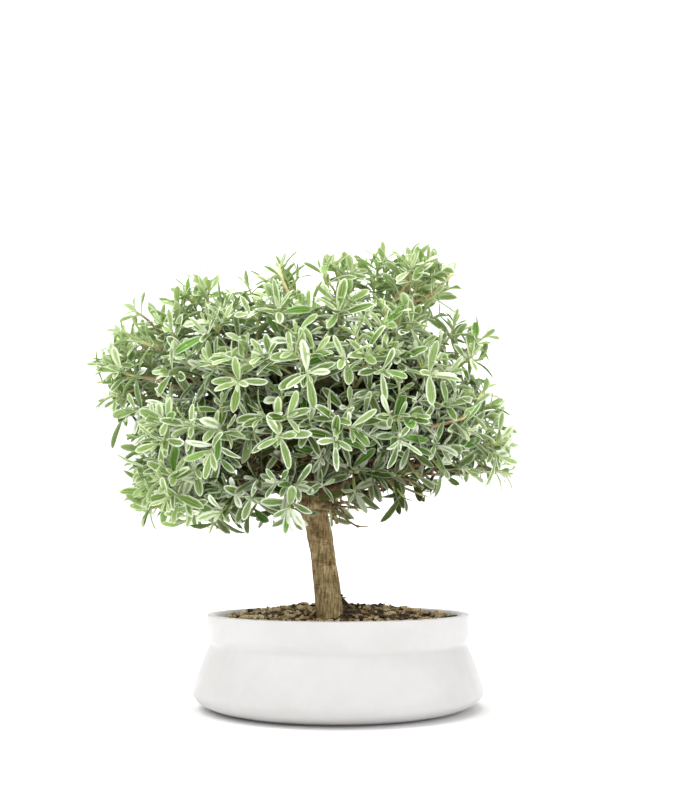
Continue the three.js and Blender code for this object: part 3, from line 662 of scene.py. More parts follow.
def build_three_tone(nodes, given, result):
    low = nodes.mix(nodes.times(given["Mask"], 2.0, clamp=True), given["Dark"], given["Middle"])
    rest = nodes.minus(nodes.times(given["Mask"], 2.0), 1.0, clamp=True)
    nodes.feed(result["Color"], nodes.mix(rest, low, given["Light"]))


def build_grain(nodes, given, result):
    fine = nodes.add("ShaderNodeTexNoise", Vector=given["Vector"], Scale=given["Scale"], Detail=4.0)
    height = nodes.plus(given["Height"], nodes.times(fine.outputs[0], given["Amount"]))
    relief = nodes.add(
        "ShaderNodeBump", Strength=given["Strength"], Distance=given["Distance"], Height=height,
    )
    nodes.feed(result["Normal"], relief.outputs[0])


MOTTLE = group(
    "Soft Mottle",
    [("Vector", VECTOR, None), ("Scale", FLOAT, 50), ("Low", FLOAT, 0.35), ("High", FLOAT, 0.65)],
    [("Mask", FLOAT)], build_mottle,
)
STREAKS = group(
    "Drawn Streaks",
    [("Vector", VECTOR, None), ("Stretch", VECTOR, (1, 1, 1)), ("Low", FLOAT, 0.35), ("High", FLOAT, 0.65)],
    [("Mask", FLOAT)], build_streaks,
)
THREE_TONE = group(
    "Three Tones",
    [("Mask", FLOAT, 0.5), ("Dark", COLOR, (0, 0, 0, 1)), ("Middle", COLOR, (0.5, 0.5, 0.5, 1)),
     ("Light", COLOR, (1, 1, 1, 1))],
    [("Color", COLOR)], build_three_tone,
)
GRAIN = group(
    "Raised Grain",
    [("Vector", VECTOR, None), ("Scale", FLOAT, 800), ("Amount", FLOAT, 1), ("Height", FLOAT, 0),
     ("Strength", FLOAT, 0.5), ("Distance", FLOAT, 0.0005)],
    [("Normal", VECTOR)], build_grain,
)


class Finish(Nodes):
    """A new material with one Principled shader, whose constants are set on its own sockets."""

    def __init__(self, name, **constants):
        self.material = bpy.data.materials.new(name)
        self.material.use_nodes = True
        super().__init__(self.material.node_tree)
        self.shader = self.tree.nodes["Principled BSDF"]
        self.wear(**constants)

    def shared(self, effect, **sockets):
        return self.add("ShaderNodeGroup", {"node_tree": effect}, **sockets).outputs[0]

    def toned(self, mask, dark, middle, light):
        return self.shared(THREE_TONE, Mask=mask, Dark=dark, Middle=middle, Light=light)

    def place(self):
        """Where a point lies on the object, in metres."""
        return self.add("ShaderNodeTexCoord").outputs["Object"]

    def attribute(self, name):
        return self.add("ShaderNodeAttribute", {"attribute_name": name}).outputs["Vector"]

    def split(self, vector):
        return self.add("ShaderNodeSeparateXYZ", Vector=vector).outputs

    def wear(self, **sockets):
        for key, value in sockets.items():
            self.feed(self.shader.inputs[key.replace("_", " ")], value)
        return self.material


# Finishes

# What the leaves' attributes hold: millimetres across, along and in from the margin, and a leaf's own
# draw, its youth, which below zero is its painted shade, and whether a face is its underside.
BLADE_PLACE = "blade_place"
LEAF_NATURE = "leaf_nature"
# How deep a place on the bark lies in a crease, which also sets the painted shade there.
CREASE = "crease"
DARK_GREEN = srgb(52, 82, 6)
MID_GREEN = srgb(97, 131, 50)
SOFT_GREEN = srgb(148, 170, 112)
GREY_GREEN = srgb(184, 201, 156)
BRIGHT_GREEN = srgb(88, 146, 38)
MIDRIB_GREEN = srgb(178, 200, 136)
YOUNG_GREEN = srgb(172, 199, 116)
CREAM = srgb(239, 246, 227)
YOUNG_CREAM = srgb(241, 248, 216)
UNDERSIDE = srgb(184, 204, 142)
# Painted shade: the tint that darkens leaves deep in the head, low under its middle and on the shaded shoots.
PAINTED_SHADE_TINT = srgb(76, 80, 12)
# Painted shade in the bark's creases.
PAINTED_CREASE_SHADE = srgb(74, 54, 30)
# Between which draws a leaf turns pale and is no longer bright, what its streaks and its draw add to its
# tone, how far in millimetres its midrib reaches, and how strongly each part of it shows.
LOOK = {
    "pale": (0.84, 0.88), "bright": (0.12, 0.16), "streaks": 0.4, "draw": 0.78, "darker": 0.06,
    "rib": (0.12, 0.42, 0.55), "brightness": 0.85, "halo_least": 0.36, "halo": 0.76, "young": 0.55,
    "margin": 0.92, "young_margin": 0.36, "under": 0.4, "shade": 0.97, "groove": 0.7, "streak_relief": 0.35,
    "under_dull": 0.2, "roughness": (0.38, 0.46),
}
# How much wider a pale leaf's margin is and how much narrower a bright one's, how far it wavers, and where
# the margin and the halo inside it end, in millimetres past its width.
MARGIN = {"pale": 1.3, "bright": 0.3, "waver": 0.8, "ends": (-0.28, 0.38), "halo_ends": (0.1, 1.7)}


def build_margin(nodes, given, result):
    width = nodes.plus(given["Narrowest"], nodes.times(given["Draw"], given["Spread"]))
    width = nodes.plus(width, nodes.times(given["Pale"], MARGIN["pale"]))
    width = nodes.minus(width, nodes.times(given["Bright"], MARGIN["bright"]))
    wobble = nodes.times(nodes.minus(given["Streaks"], 0.5), MARGIN["waver"])
    past = nodes.minus(nodes.plus(given["Inward"], wobble), width)
    nodes.feed(result["Margin"], nodes.ramp(past, *MARGIN["ends"], 1.0, 0.0))
    nodes.feed(result["Halo"], nodes.ramp(past, *MARGIN["halo_ends"], 1.0, 0.0))


LEAF_MARGIN = group(
    "Leaf Margin",
    [("Inward", FLOAT, 0), ("Streaks", FLOAT, 0.5), ("Draw", FLOAT, 0.5), ("Narrowest", FLOAT, 0.5),
     ("Spread", FLOAT, 0.6), ("Pale", FLOAT, 0), ("Bright", FLOAT, 0)],
    [("Margin", FLOAT), ("Halo", FLOAT)], build_margin,
)


def leaf_finish():
    """A green leaf with a cream margin, a grey-green zone inside it, a pale midrib, a paler underside and
    painted shade.
    """
    leaf = Finish("variegated_leaf", Specular_IOR_Level=0.07)
    across, along, inward = leaf.split(leaf.attribute(BLADE_PLACE))
    draw, age, under = leaf.split(leaf.attribute(LEAF_NATURE))
    # age is the leaf's youth above zero and its painted shade below zero.
    youth = leaf.math("MAXIMUM", age, 0.0)
    shade = leaf.math("MAXIMUM", leaf.times(age, -1.0), 0.0)
    second_draw = leaf.math("FRACT", leaf.times(draw, 7.3))
    own = leaf.add("ShaderNodeCombineXYZ", X=across, Y=along, Z=leaf.times(draw, 41.0)).outputs[0]
    streaks = leaf.shared(STREAKS, Vector=own, Stretch=(1.5, 0.13, 1), Low=0.3, High=0.7)
    patches = leaf.shared(MOTTLE, Vector=own, Scale=0.22, Low=0.36, High=0.66)

    kind = leaf.math("FRACT", leaf.times(draw, 23.7))
    pale, bright = leaf.ramp(kind, *LOOK["pale"]), leaf.ramp(kind, *LOOK["bright"], 1.0, 0.0)
    tone = leaf.plus(leaf.times(streaks, LOOK["streaks"]), leaf.times(draw, LOOK["draw"]))
    tone = leaf.minus(tone, LOOK["darker"], clamp=True)
    green = leaf.toned(tone, DARK_GREEN, MID_GREEN, SOFT_GREEN)
    green = leaf.mix(leaf.times(bright, LOOK["brightness"]), green, BRIGHT_GREEN)
    edge = leaf.add("ShaderNodeGroup", {"node_tree": LEAF_MARGIN}, Inward=inward, Streaks=streaks,
                    Draw=second_draw, Pale=pale, Bright=bright).outputs
    halo = leaf.times(edge["Halo"], leaf.plus(leaf.plus(LOOK["halo_least"], pale), patches))
    colour = leaf.mix(leaf.times(halo, LOOK["halo"], clamp=True), green, GREY_GREEN)
    rib = leaf.ramp(leaf.math("ABSOLUTE", across), *LOOK["rib"], 0.0)
    colour = leaf.mix(rib, colour, MIDRIB_GREEN)
    colour = leaf.mix(leaf.times(youth, LOOK["young"]), colour, YOUNG_GREEN)
    rim_share = leaf.minus(LOOK["margin"], leaf.times(youth, LOOK["young_margin"]))
    cream = leaf.mix(youth, CREAM, YOUNG_CREAM)
    colour = leaf.mix(leaf.times(edge["Margin"], rim_share), colour, cream)
    colour = leaf.mix(leaf.times(under, LOOK["under"]), colour, UNDERSIDE)
    # Painted shade: shaded leaves are multiplied darker by its tint.
    colour = leaf.mix(leaf.times(shade, LOOK["shade"]), colour, PAINTED_SHADE_TINT, "MULTIPLY")

    groove = leaf.ramp(leaf.math("ABSOLUTE", across), 0.0, LOOK["groove"])
    relief = leaf.plus(groove, leaf.times(streaks, LOOK["streak_relief"]))
    normal = leaf.shared(GRAIN, Vector=own, Scale=3.0, Amount=0.15, Height=relief, Strength=0.5,
                         Distance=0.00025)
    dull = leaf.times(under, LOOK["under_dull"])
    roughness = leaf.plus(dull, leaf.ramp(patches, 0.0, 1.0, *LOOK["roughness"]))
    return leaf.wear(Base_Color=colour, Normal=normal, Roughness=roughness)


def stem_finish():
    """Young stems: green near the tip and brown towards the twig; stout ones yellow and then tan."""
    stem = Finish("young_stem", Roughness=0.6)
    _, age, stout = stem.split(stem.attribute(BLADE_PLACE))
    place = stem.place()
    fleck = stem.shared(MOTTLE, Vector=place, Scale=420.0, Low=0.35, High=0.65)
    aged = stem.plus(age, stem.times(stem.minus(fleck, 0.5), 0.3))
    common = stem.toned(aged, srgb(176, 190, 112), srgb(172, 172, 116), srgb(120, 100, 70))
    rare = stem.toned(aged, srgb(206, 212, 122), srgb(206, 190, 136), srgb(164, 140, 100))
    colour = stem.mix(stout, common, rare)
    normal = stem.shared(GRAIN, Vector=place, Scale=1500.0, Amount=1.0, Strength=0.4, Distance=0.0003)
    return stem.wear(Base_Color=colour, Normal=normal)


def bark_finish(name, dark, middle, light, scale):
    """Bark with long fibres up the wood, fine cracks across it and painted shade in its creases."""
    bark = Finish(name, Roughness=0.85)
    place = bark.place()
    up, across = ([size * scale for size in sizes] for sizes in ((620, 620, 75), (160, 160, 1300)))
    fibres = bark.shared(STREAKS, Vector=place, Stretch=up, Low=0.3, High=0.72)
    cracks = bark.shared(STREAKS, Vector=place, Stretch=across, Low=0.56, High=0.72)
    patches = bark.shared(MOTTLE, Vector=place, Scale=70.0 * scale, Low=0.34, High=0.66)
    tone = bark.plus(bark.times(fibres, 0.55), bark.times(patches, 0.45))
    tone = bark.minus(tone, bark.times(cracks, 0.5), clamp=True)
    colour = bark.toned(tone, dark, middle, light)
    # Painted shade: the bark darkens where it lies deep in a crease.
    crease = bark.add("ShaderNodeAttribute", {"attribute_name": CREASE}).outputs["Fac"]
    colour = bark.mix(bark.times(crease, 0.7, clamp=True), colour, PAINTED_CREASE_SHADE)
    relief = bark.minus(fibres, cracks)
    normal = bark.shared(GRAIN, Vector=place, Scale=1600.0, Amount=0.5, Height=relief, Strength=0.9,
                         Distance=0.0007)
    return bark.wear(Base_Color=colour, Normal=normal)


def toned_finish(name, tones, effect, mask, grain, raised=True, **constants):
    """A finish of three tones, mixed by a shared effect that also lifts its grain if that is raised."""
    finish = Finish(name, **constants)
    place = finish.place()
    share = finish.shared(effect, Vector=place, **mask)
    colour = finish.toned(share, *(srgb(*tone) for tone in tones))
    normal = finish.shared(GRAIN, Vector=place, Height=share if raised else 0.0, **grain)
    finish.wear(Base_Color=colour, Normal=normal)
    return finish, share


def soil_finish():
    soil, _ = toned_finish(
        "moist_soil", ((34, 27, 16), (86, 68, 42), (160, 134, 94)),
        MOTTLE, {"Scale": 260.0, "Low": 0.36, "High": 0.68},
        {"Scale": 1400.0, "Amount": 1.0, "Strength": 1.0, "Distance": 0.001},
        Roughness=0.95, Specular_IOR_Level=0.3,
    )
    return soil.material


def chip_finish(name, *tones):
    chip, _ = toned_finish(
        name, tones, STREAKS, {"Stretch": (1100, 260, 700), "Low": 0.32, "High": 0.7},
        {"Scale": 1800.0, "Amount": 0.7, "Strength": 0.8, "Distance": 0.0006}, Roughness=0.88,
    )
    return chip.material


def glaze_finish():
    """White gloss glaze that pools a little and is faintly uneven."""
    glaze, pooled = toned_finish(
        "white_glaze", ((205, 203, 201), (208, 206, 205), (211, 209, 208)),
        MOTTLE, {"Scale": 22.0, "Low": 0.3, "High": 0.7},
        {"Scale": 90.0, "Amount": 1.0, "Strength": 0.04, "Distance": 0.001}, raised=False,
        Specular_IOR_Level=0.35, Coat_Weight=0.15, Coat_Roughness=0.3,
    )
    return glaze.wear(Roughness=glaze.ramp(pooled, 0.0, 1.0, 0.5, 0.42))


def plastic_finish():
    plastic, _ = toned_finish(
        "black_plastic", ((34, 36, 37), (43, 45, 46), (56, 58, 60)),
        MOTTLE, {"Scale": 300.0, "Low": 0.3, "High": 0.7},
        {"Scale": 2500.0, "Amount": 1.0, "Strength": 0.2, "Distance": 0.0002}, raised=False, Roughness=0.55,
    )
    return plastic.material


def floor_finish():
    floor = Finish("pale_floor", Base_Color=srgb(250, 250, 250), Roughness=0.9, Specular_IOR_Level=0.1)
    return floor.material


# The plan of the sprays

def around(shoot, along, degrees):
    """The way that points out of a shoot at an angle round it."""
    across = unit(shoot["zero"] - along * (shoot["zero"] @ along))
    over = np.cross(along, across)
    turn = math.radians(degrees)
    return across * math.cos(turn) + over * math.sin(turn)


def side_shoot(start, way, along, length, pairs, quarter):
    """A straight shoot that leaves a stem which runs along there."""
    return {
        "curve": straight(start, way, length),
        "length": length,
        "pairs": PAIRS[:pairs],
        "radius": SHOOT_RADIUS,
        "zero": unit(along - way * (along @ way)),
        "quarter": quarter,
    }


def plan_shoot(main, kind, spread):
    """One side shoot: a straight one that leans out from the stem it leaves."""
    start = main["curve"](kind["at"])
    along = tangent(main["curve"], kind["at"])
    turn = main["quarter"] + 90 * kind["quarters"] + spread(SHOOT["turn_spread"])
    away = around(main, along, turn)
    lean = math.radians(SHOOT["lean"] + spread(SHOOT["lean_spread"]))
    way = unit(along * math.cos(lean) + away * math.sin(lean) + UP * SHOOT["lift"])
    length = kind["length"] * (1 + spread(SHOOT["length_spread"]))
    return side_shoot(start, way, along, length, kind["pairs"], spread(STEM["turn_spread"]))


def plan_leaf(shoot, k, quarters, out, spread):
    """One leaf: where it leaves the shoot, the way it points and faces, and its size."""
    behind, full, leaning, youth = shoot["pairs"][k]
    at = 1 - behind / shoot["length"]
    along = tangent(shoot["curve"], at)
    away = around(shoot, along, shoot["quarter"] + 90 * quarters + spread(LEAF["turn_spread"]))
    lean = math.radians(leaning + spread(LEAF["lean_spread"]))
    points = along * math.cos(lean) + away * math.sin(lean)
    faces = along * math.sin(lean) - away * math.cos(lean)
    light = UP * LEAF["light_up"] + out * LEAF["light_out"]
    faces = unit(faces + (light - points * (light @ points)) * LEAF["light"])
    length = full * (1 + spread(LEAF["length_spread"]))
    width = length * LEAF["width"] * (1 + spread(LEAF["width_spread"]))
    recurve = lerp(*LEAF["recurve"], 0.5 + spread(0.5))
    return {
        "root": shoot["curve"](at), "points": points, "faces": faces, "length": length, "width": width,
        "recurve": recurve, "youth": youth,
    }


def plan_spray(tip, seed):
    """The plan of one spray: its stem, its side shoots and every leaf on them, from its tip and a seed."""
    spread = spreader(drawer(seed))
    tip = np.array(tip, float)
    out = unit((tip - HEAD_MIDDLE) / HEAD_REACH / HEAD_REACH)
    out[2] = max(out[2], STEM["lowest"])
    wayward = np.array([spread(STEM["wayward"]) for _ in range(3)])
    heading = unit(out + UP * STEM["lift"] + wayward)
    length = STEM["length"] + spread(STEM["length_spread"])
    middle = tip - heading * (length / 2)
    rise = unit(heading - UP * STEM["bow"])
    base = middle - rise * (length / 2)
    main = {
        "curve": bezier(base, middle, tip),
        "length": length,
        "pairs": PAIRS[:STEM["pairs"]],
        "radius": STEM["radius"],
        "zero": unit(np.cross(UP, heading)),
        "quarter": spread(STEM["turn_spread"]),
    }
    shoots = [main, *(plan_shoot(main, kind, spread) for kind in SHOOTS)]
    leaves = [leaf for shoot in shoots for leaf in shoot_leaves(shoot, out, spread)]
    return {"base": base, "heading": rise, "out": out, "shoots": shoots, "leaves": leaves}


def shoot_leaves(shoot, out, spread):
    return [
        plan_leaf(shoot, k, (k + half) % 4, out, spread)
        for k in range(len(shoot["pairs"])) for half in (0, 2)
    ]


def fill_spray(plan, seed):
    """Adds the filling shoots, with their leaves, to a planned spray."""
    spread = spreader(drawer(seed))
    for kind in FILL_SHOOTS:
        shoot = plan_shoot(plan["shoots"][0], kind, spread)
        plan["shoots"].append(shoot)
        plan["leaves"] += shoot_leaves(shoot, plan["out"], spread)


def plan_sprays():
    """Every spray's name, bough and plan."""
    sprays = []
    for bough, kind in BOUGHS.items():
        for i, tip in enumerate(kind["tips"]):
            seed = SEED + len(sprays)
            plan = plan_spray(tip, seed)
            fill_spray(plan, seed + FILL_SEED)
            sprays.append((f"spray_{bough}_{i + 1}", bough, plan))
    return sprays


# Leaves and sprays

def half_widths(along):
    """Half the width of a leaf of width 1, from its stalk through its widest place to its short point."""
    return 0.5 * along ** LEAF["base"] * (1 - along) ** LEAF["point"] / LEAF["widest"]


def outside_gaps(leaf):
    x, _, z = leaf["root"] + leaf["points"] * leaf["length"]
    return all(math.hypot(x - gap_x, z - gap_z) > radius for gap_x, gap_z, radius in GAPS)


def leafy_place(leaf, draw):
    """Whether a leaf stays: fewer do low in the middle, where the wood shows."""
    x, y, z = leaf["root"]
    among_wood = WOODY["x"][0] < x < WOODY["x"][1] and z < WOODY["below"] and y > WOODY["behind"]
    return not among_wood or draw > WOODY["dropped"]


def vary(leaves, rng):
    """The leaves' frames as arrays, each leaf rolled, stretched and narrowed a little by its own draws."""
    def column(key):
        return np.array([leaf[key] for leaf in leaves])

    count = len(leaves)
    points, faces = column("points"), column("faces")
    side = np.cross(faces, points)
    tilt = rng.normal(0, VARIETY["tilt"], count)[:, None]
    points, faces = points * np.cos(tilt) + faces * np.sin(tilt), faces * np.cos(tilt) - points * np.sin(tilt)
    roll = rng.normal(0, VARIETY["roll"], count)[:, None]
    # Painted shade: leaves deep in the head and low under its middle are darkened.
    depth = 1 - np.linalg.norm((column("root") - HEAD_MIDDLE) / HEAD_REACH, axis=1)
    shade = way_along(depth, *PAINTED_SHADE_DEPTH)
    x, _, z = column("root").T
    beside = np.exp(-(((x - LOW_PAINTED_SHADE["middle"]) / LOW_PAINTED_SHADE["reach"]) ** 2))
    # The lit left and top take less painted shade and more youth, as painted light.
    lit_side = np.maximum(way_along(x, *PAINTED_LIGHT_SIDE["x"]), way_along(z, *PAINTED_LIGHT_SIDE["z"]))
    shade = shade * (1 - PAINTED_LIGHT_SIDE["most"] * lit_side)
    shade = np.maximum(shade, LOW_PAINTED_SHADE["most"] * way_along(z, *LOW_PAINTED_SHADE["z"]) * beside)
    # Youth added on the lit left and top as painted light.
    more = PAINTED_LIGHT_SIDE["youth"] * lit_side
    return {
        "root": column("root"),
        "points": points,
        "faces": faces * np.cos(roll) + side * np.sin(roll),
        "length": column("length") * rng.uniform(*VARIETY["length"], count),
        "width": column("width") * rng.uniform(*VARIETY["width"], count),
        "recurve": column("recurve"),
        "twist": rng.normal(0, VARIETY["twist"], count),
        "sway": rng.normal(0, VARIETY["sway"], count),
        "wave": rng.uniform(*VARIETY["wave"], count),
        "waves": rng.uniform(*VARIETY["waves"], count),
        "phase": rng.uniform(0, 2 * math.pi, count),
        "youth": (column("youth") * rng.uniform(*VARIETY["youth"], count) + more) * (1 - shade) - shade,
        "draw": rng.uniform(0, 1, count),
    }


def blade_grid(own, blade):
    """Places on the leaves' upper and lower skins, and what their finish reads there."""
    s, columns = blade[0][None], blade[1]
    length, width, recurve = (own[key][:, None] for key in ("length", "width", "recurve"))
    points, faces = own["points"][:, None], own["faces"][:, None]
    stalk = LEAF["stalk"] * (1 - s / LEAF["stalk_end"]).clip(0, 1) + 0 * length
    half = np.maximum(half_widths(s) * width, stalk)
    bend, reach = recurve * s, length / recurve
    side = np.cross(faces, points)
    normal = faces * np.cos(bend)[..., None] + points * np.sin(bend)[..., None]
    twist = (own["twist"][:, None] * s)[..., None]
    across_way = side * np.cos(twist) + normal * np.sin(twist)
    up_way = normal * np.cos(twist) - side * np.sin(twist)
    sway = own["sway"][:, None] * length * s ** 2
    spine = (
        own["root"][:, None] + points * (reach * np.sin(bend))[..., None]
        - faces * (reach * (1 - np.cos(bend)))[..., None] + side * sway[..., None]
    )
    across = half[..., None] * columns
    waves = own["wave"][:, None] * np.sin(own["phase"][:, None] + own["waves"][:, None] * s)
    lift = LEAF["fold"] * np.abs(across) + waves[..., None] * columns ** 3
    thick = (LEAF["thickness"] / 2 + stalk)[..., None] * (1 - columns ** 2) ** 0.5
    flat = spine[:, :, None] + across_way[:, :, None] * across[..., None]
    upper = flat + up_way[:, :, None] * (lift + thick)[..., None]
    lower = flat + up_way[:, :, None] * (lift - thick)[..., None]
    along = length[..., None] * s[..., None] + 0 * across
    inward = np.minimum(half[..., None] * (1 - np.abs(columns)), (length[..., None] - along) * 0.9)
    return upper, lower, np.stack([across, along, inward], -1)


def blade_faces(rows, columns):
    """The faces of one leaf: its upper skin, its lower skin that shares the margin, its root and its tip."""
    inner = columns - 2
    top = [[i * columns + k for k in range(columns)] for i in range(rows)]
    low = [
        [top[i][0], *(rows * columns + i * inner + k for k in range(inner)), top[i][-1]]
        for i in range(rows)
    ]
    faces = [
        (skin[i][k + a], skin[i][k + b], skin[i + 1][k + b], skin[i + 1][k + a])
        for skin, a, b in ((top, 0, 1), (low, 1, 0))
        for i in range(rows - 1) for k in range(columns - 1)
    ]
    faces.append((*top[0][::-1], *low[0][1:-1]))
    faces.append((*top[-1], *low[-1][1:-1][::-1]))
    return faces


def tube_stems(shoots):
    """Shoots as tubes that swell at each pair of leaves, and what their finish reads there."""
    parts, place = [], []
    for shoot in shoots:
        rings = STEM_RINGS["long" if shoot["length"] > STEM_RINGS["over"] else "short"]
        nodes = [pair[0] for pair in shoot["pairs"]]
        steps = np.linspace(0, 1, rings)
        behind = (1 - steps) * shoot["length"]
        swell = [1 + STEM_KNOT["rise"] * max(bump(b, n, STEM_KNOT["reach"]) for n in nodes) for b in behind]
        radii = [lerp(*shoot["radius"], t) * w for t, w in zip(steps, swell)]
        radii = [r * (1 if t < STEM_TIP["from"] else STEM_TIP["share"]) for t, r in zip(steps, radii)]
        parts.append(tube([shoot["curve"](t) for t in steps], radii, STEM_SIDES))
        ripe = shoot.get("ripe", RIPE)
        stout = "ripe" in shoot and shoot["radius"][0] > SHOOT_RADIUS[0] + STOUTER
        for b in behind:
            place.extend([(0, min(b / ripe, 1), stout)] * STEM_SIDES)
    points, faces = gather(parts)
    return np.array(points), faces, np.array(place)


def write_vectors(mesh, label, domain, values):
    attribute = mesh.attributes.new(label, "FLOAT_VECTOR", domain)
    attribute.data.foreach_set("vector", np.asarray(values, np.float32).ravel())


def make_leafy(name, leaves, shoots, seed, blade, materials):
    """One piece of leaves and their stems in one mesh, with a texture map of leaf tiles."""
    rng = np.random.RandomState(seed)
    leaves = [leaf for leaf in leaves if outside_gaps(leaf) and leafy_place(leaf, rng.uniform())]
    leaves = vary(leaves, rng)
    upper, lower, place = blade_grid(leaves, blade)
    count, rows, columns = upper.shape[:3]
    own = np.concatenate([upper.reshape(count, -1, 3), lower[:, :, 1:-1].reshape(count, -1, 3)], 1)
    own_place = np.concatenate([place.reshape(count, -1, 3), place[:, :, 1:-1].reshape(count, -1, 3)], 1)
    template = blade_faces(rows, columns)
    per_leaf = own.shape[1]
    start = count * per_leaf
    stem_points, stem_faces, stem_place = tube_stems(shoots)
    faces = [tuple(i * per_leaf + v for v in face) for i in range(count) for face in template]
    faces += [tuple(start + v for v in face) for face in stem_faces]
    piece = make_object(name, np.concatenate([own.reshape(-1, 3), stem_points]), faces, materials)
    mesh = piece.data

    write_vectors(mesh, BLADE_PLACE, "POINT", np.concatenate([own_place.reshape(-1, 3), stem_place]))
    skin = (rows - 1) * (columns - 1)
    under = np.zeros(len(template))
    under[skin:2 * skin] = 1
    leaf_faces = count * len(template)
    nature = np.zeros((len(faces), 3))
    nature[:leaf_faces, 0] = np.repeat(leaves["draw"], len(template))
    # The youth column carries painted shade below zero.
    nature[:leaf_faces, 1] = np.repeat(leaves["youth"], len(template))
    nature[:leaf_faces, 2] = np.tile(under, count)
    write_vectors(mesh, LEAF_NATURE, "FACE", nature)
    slots = np.zeros(len(faces), np.int32)
    slots[leaf_faces:] = 1
    mesh.polygons.foreach_set("material_index", slots)
    sharpen_margins(mesh, count, per_leaf, rows, columns)
    map_leafy(mesh, leaves, leaf_faces, under, own_place)
    return piece


def sharpen_margins(mesh, count, per_leaf, rows, columns):
    """Keeps each leaf's margin a crisp edge between its upper and lower skins."""
    grid = np.arange(rows * columns).reshape(rows, columns)
    rims = (np.arange(count) * per_leaf)[:, None] + np.concatenate([grid[:, 0], grid[:, -1]])
    margin = np.zeros(len(mesh.vertices), bool)
    margin[rims.ravel()] = True
    ends = np.zeros(len(mesh.edges) * 2, np.int32)
    mesh.edges.foreach_get("vertices", ends)
    a, b = ends.reshape(-1, 2).T
    sharp = margin[a] & margin[b] & (np.abs(a - b) == columns)
    mesh.attributes.new("sharp_edge", "BOOLEAN", "EDGE").data.foreach_set("value", sharp)


def map_leafy(mesh, leaves, leaf_faces, under, own_place):
    """The texture map: a tile for each side of each leaf, and one for each stem."""
    count, per_leaf = own_place.shape[:2]
    corners = np.zeros(len(mesh.loops), np.int32)
    mesh.loops.foreach_get("vertex_index", corners)
    face = np.repeat(np.arange(len(mesh.polygons)), [len(p.vertices) for p in mesh.polygons])
    on_leaf = face < leaf_faces
    leaf = face[on_leaf] // len(under)
    where = own_place[leaf, corners[on_leaf] - leaf * per_leaf]
    u = where[:, 0] / leaves["width"][leaf] + 0.5
    v = where[:, 1] / leaves["length"][leaf]
    index = leaf * 2 + under[face[on_leaf] % len(under)]
    rings, turn = np.divmod(corners[~on_leaf] - count * per_leaf, STEM_SIDES)
    most = STEM_RINGS["long"]
    tiles = 2 * count + math.ceil((rings.max() + 1) / most)
    across = math.ceil(math.sqrt(tiles * TILES_ACROSS))
    down = math.ceil(tiles / across)
    uv = np.zeros((len(corners), 2))
    rim_x, rim_y = TILE_RIM
    for part, i, x, y in (
        (on_leaf, index, u, v),
        (~on_leaf, 2 * count + rings // most, turn / (STEM_SIDES - 1), rings % most / (most - 1)),
    ):
        x, y = rim_x + (1 - 2 * rim_x) * x, rim_y + (1 - 2 * rim_y) * y
        uv[part] = np.stack([(i % across + x) / across, (i // across + y) / down], 1)
    mesh.uv_layers.new(name="OFBake").data.foreach_set("uv", uv.ravel())


def inner_shoots(bough, sprays, rng):
    """The short leafy shoots on one bough's twigs, with their leaves."""
    shoots, leaves = [], []
    spread = spreader(rng.uniform)
    for line in (twig_line(bough, plan)[0] for _, fed_by, plan in sprays if fed_by == bough):
        for at in INNER["at"]:
            start, along = line(at), tangent(line, at)
            bare = INNER["bare"]
            if start[2] < bare["below"] and bare["left"] < start[0] < bare["right"]:
                continue
            from_trunk = math.hypot(start[0] - TRUNK[-1][0], start[1])
            if start[2] < INNER["clear_below"] and from_trunk < INNER["clear"]:
                continue
            away = unit(np.cross(along, rng.normal(0, 1, 3)))
            lean = math.radians(rng.uniform(*INNER["lean"]))
            way = unit(along * math.cos(lean) + away * math.sin(lean) + UP * INNER["lift"])
            length = rng.uniform(*INNER["length"])
            shoot = side_shoot(start, way, along, length, INNER["pairs"], rng.uniform(0, 90))
            shoots.append(shoot)
            leaves += shoot_leaves(shoot, unit(start - HEAD_MIDDLE), spread)
    return shoots, leaves


def long_shoots():
    """The long shoots and the ones darkened by painted shade, with their leaves."""
    shoots, leaves = [], []
    spread = spreader(np.random.RandomState(SEEDS["long"]).uniform)
    for kind in LONG_SHOOTS + SHADE_PAINTED_SHOOTS:
        rows, radius, pairs, ripe = kind
        # Shoots with painted shade: their leaves' youth goes below zero.
        dark = kind in SHADE_PAINTED_SHOOTS
        curve = through(rows)
        length = sum(math.dist(a, b) for a, b in zip(rows, rows[1:]))
        along = tangent(curve, 0.5)
        shoot = {
            "curve": curve,
            "length": length,
            "pairs": [(b, size, lean, PAINTED_SHADE_YOUTH if dark else y) for b, size, lean, y in pairs if b < length],
            "radius": radius,
            "zero": unit(np.cross(UP, along)),
            "quarter": spread(STEM["turn_spread"]),
            "ripe": ripe,
        }
        shoots.append(shoot)
        leaves += shoot_leaves(shoot, unit(np.array(rows[-1]) - HEAD_MIDDLE), spread)
    return shoots, leaves


# Wood

def bough_list(kind):
    """A bough as a smooth run of centres and radii, flared where it leaves the wood that bears it."""
    curve = through(kind["points"])
    steps = np.linspace(0, 1, LIMBS["bough"][0])
    radii = [lerp(*kind["radius"], t ** BOUGH_TAPER) * flare(t, *BOUGH_FLARE) for t in steps]
    return [curve(t) for t in steps], radii


def trunk_list():
    """The trunk's centres and radii, with a low knot and the swollen folds under the fork."""
    curve = through(TRUNK)
    run = [curve(t) for t in np.linspace(0, 1, LIMBS["trunk"][0])]
    swell = [sum(rise * bump(q[2], at, reach) for at, reach, rise in SWELLINGS) for q in run]
    return [q[:3] for q in run], [q[3] - BARK_SPACE + more for q, more in zip(run, swell)]


def limb(rows, steps, sides):
    """A small limb through rows of [x, y, z, radius]."""
    curve = through(rows)
    run = [curve(t) for t in np.linspace(0, 1, steps)]
    return tube([q[:3] for q in run], [q[3] for q in run], sides)


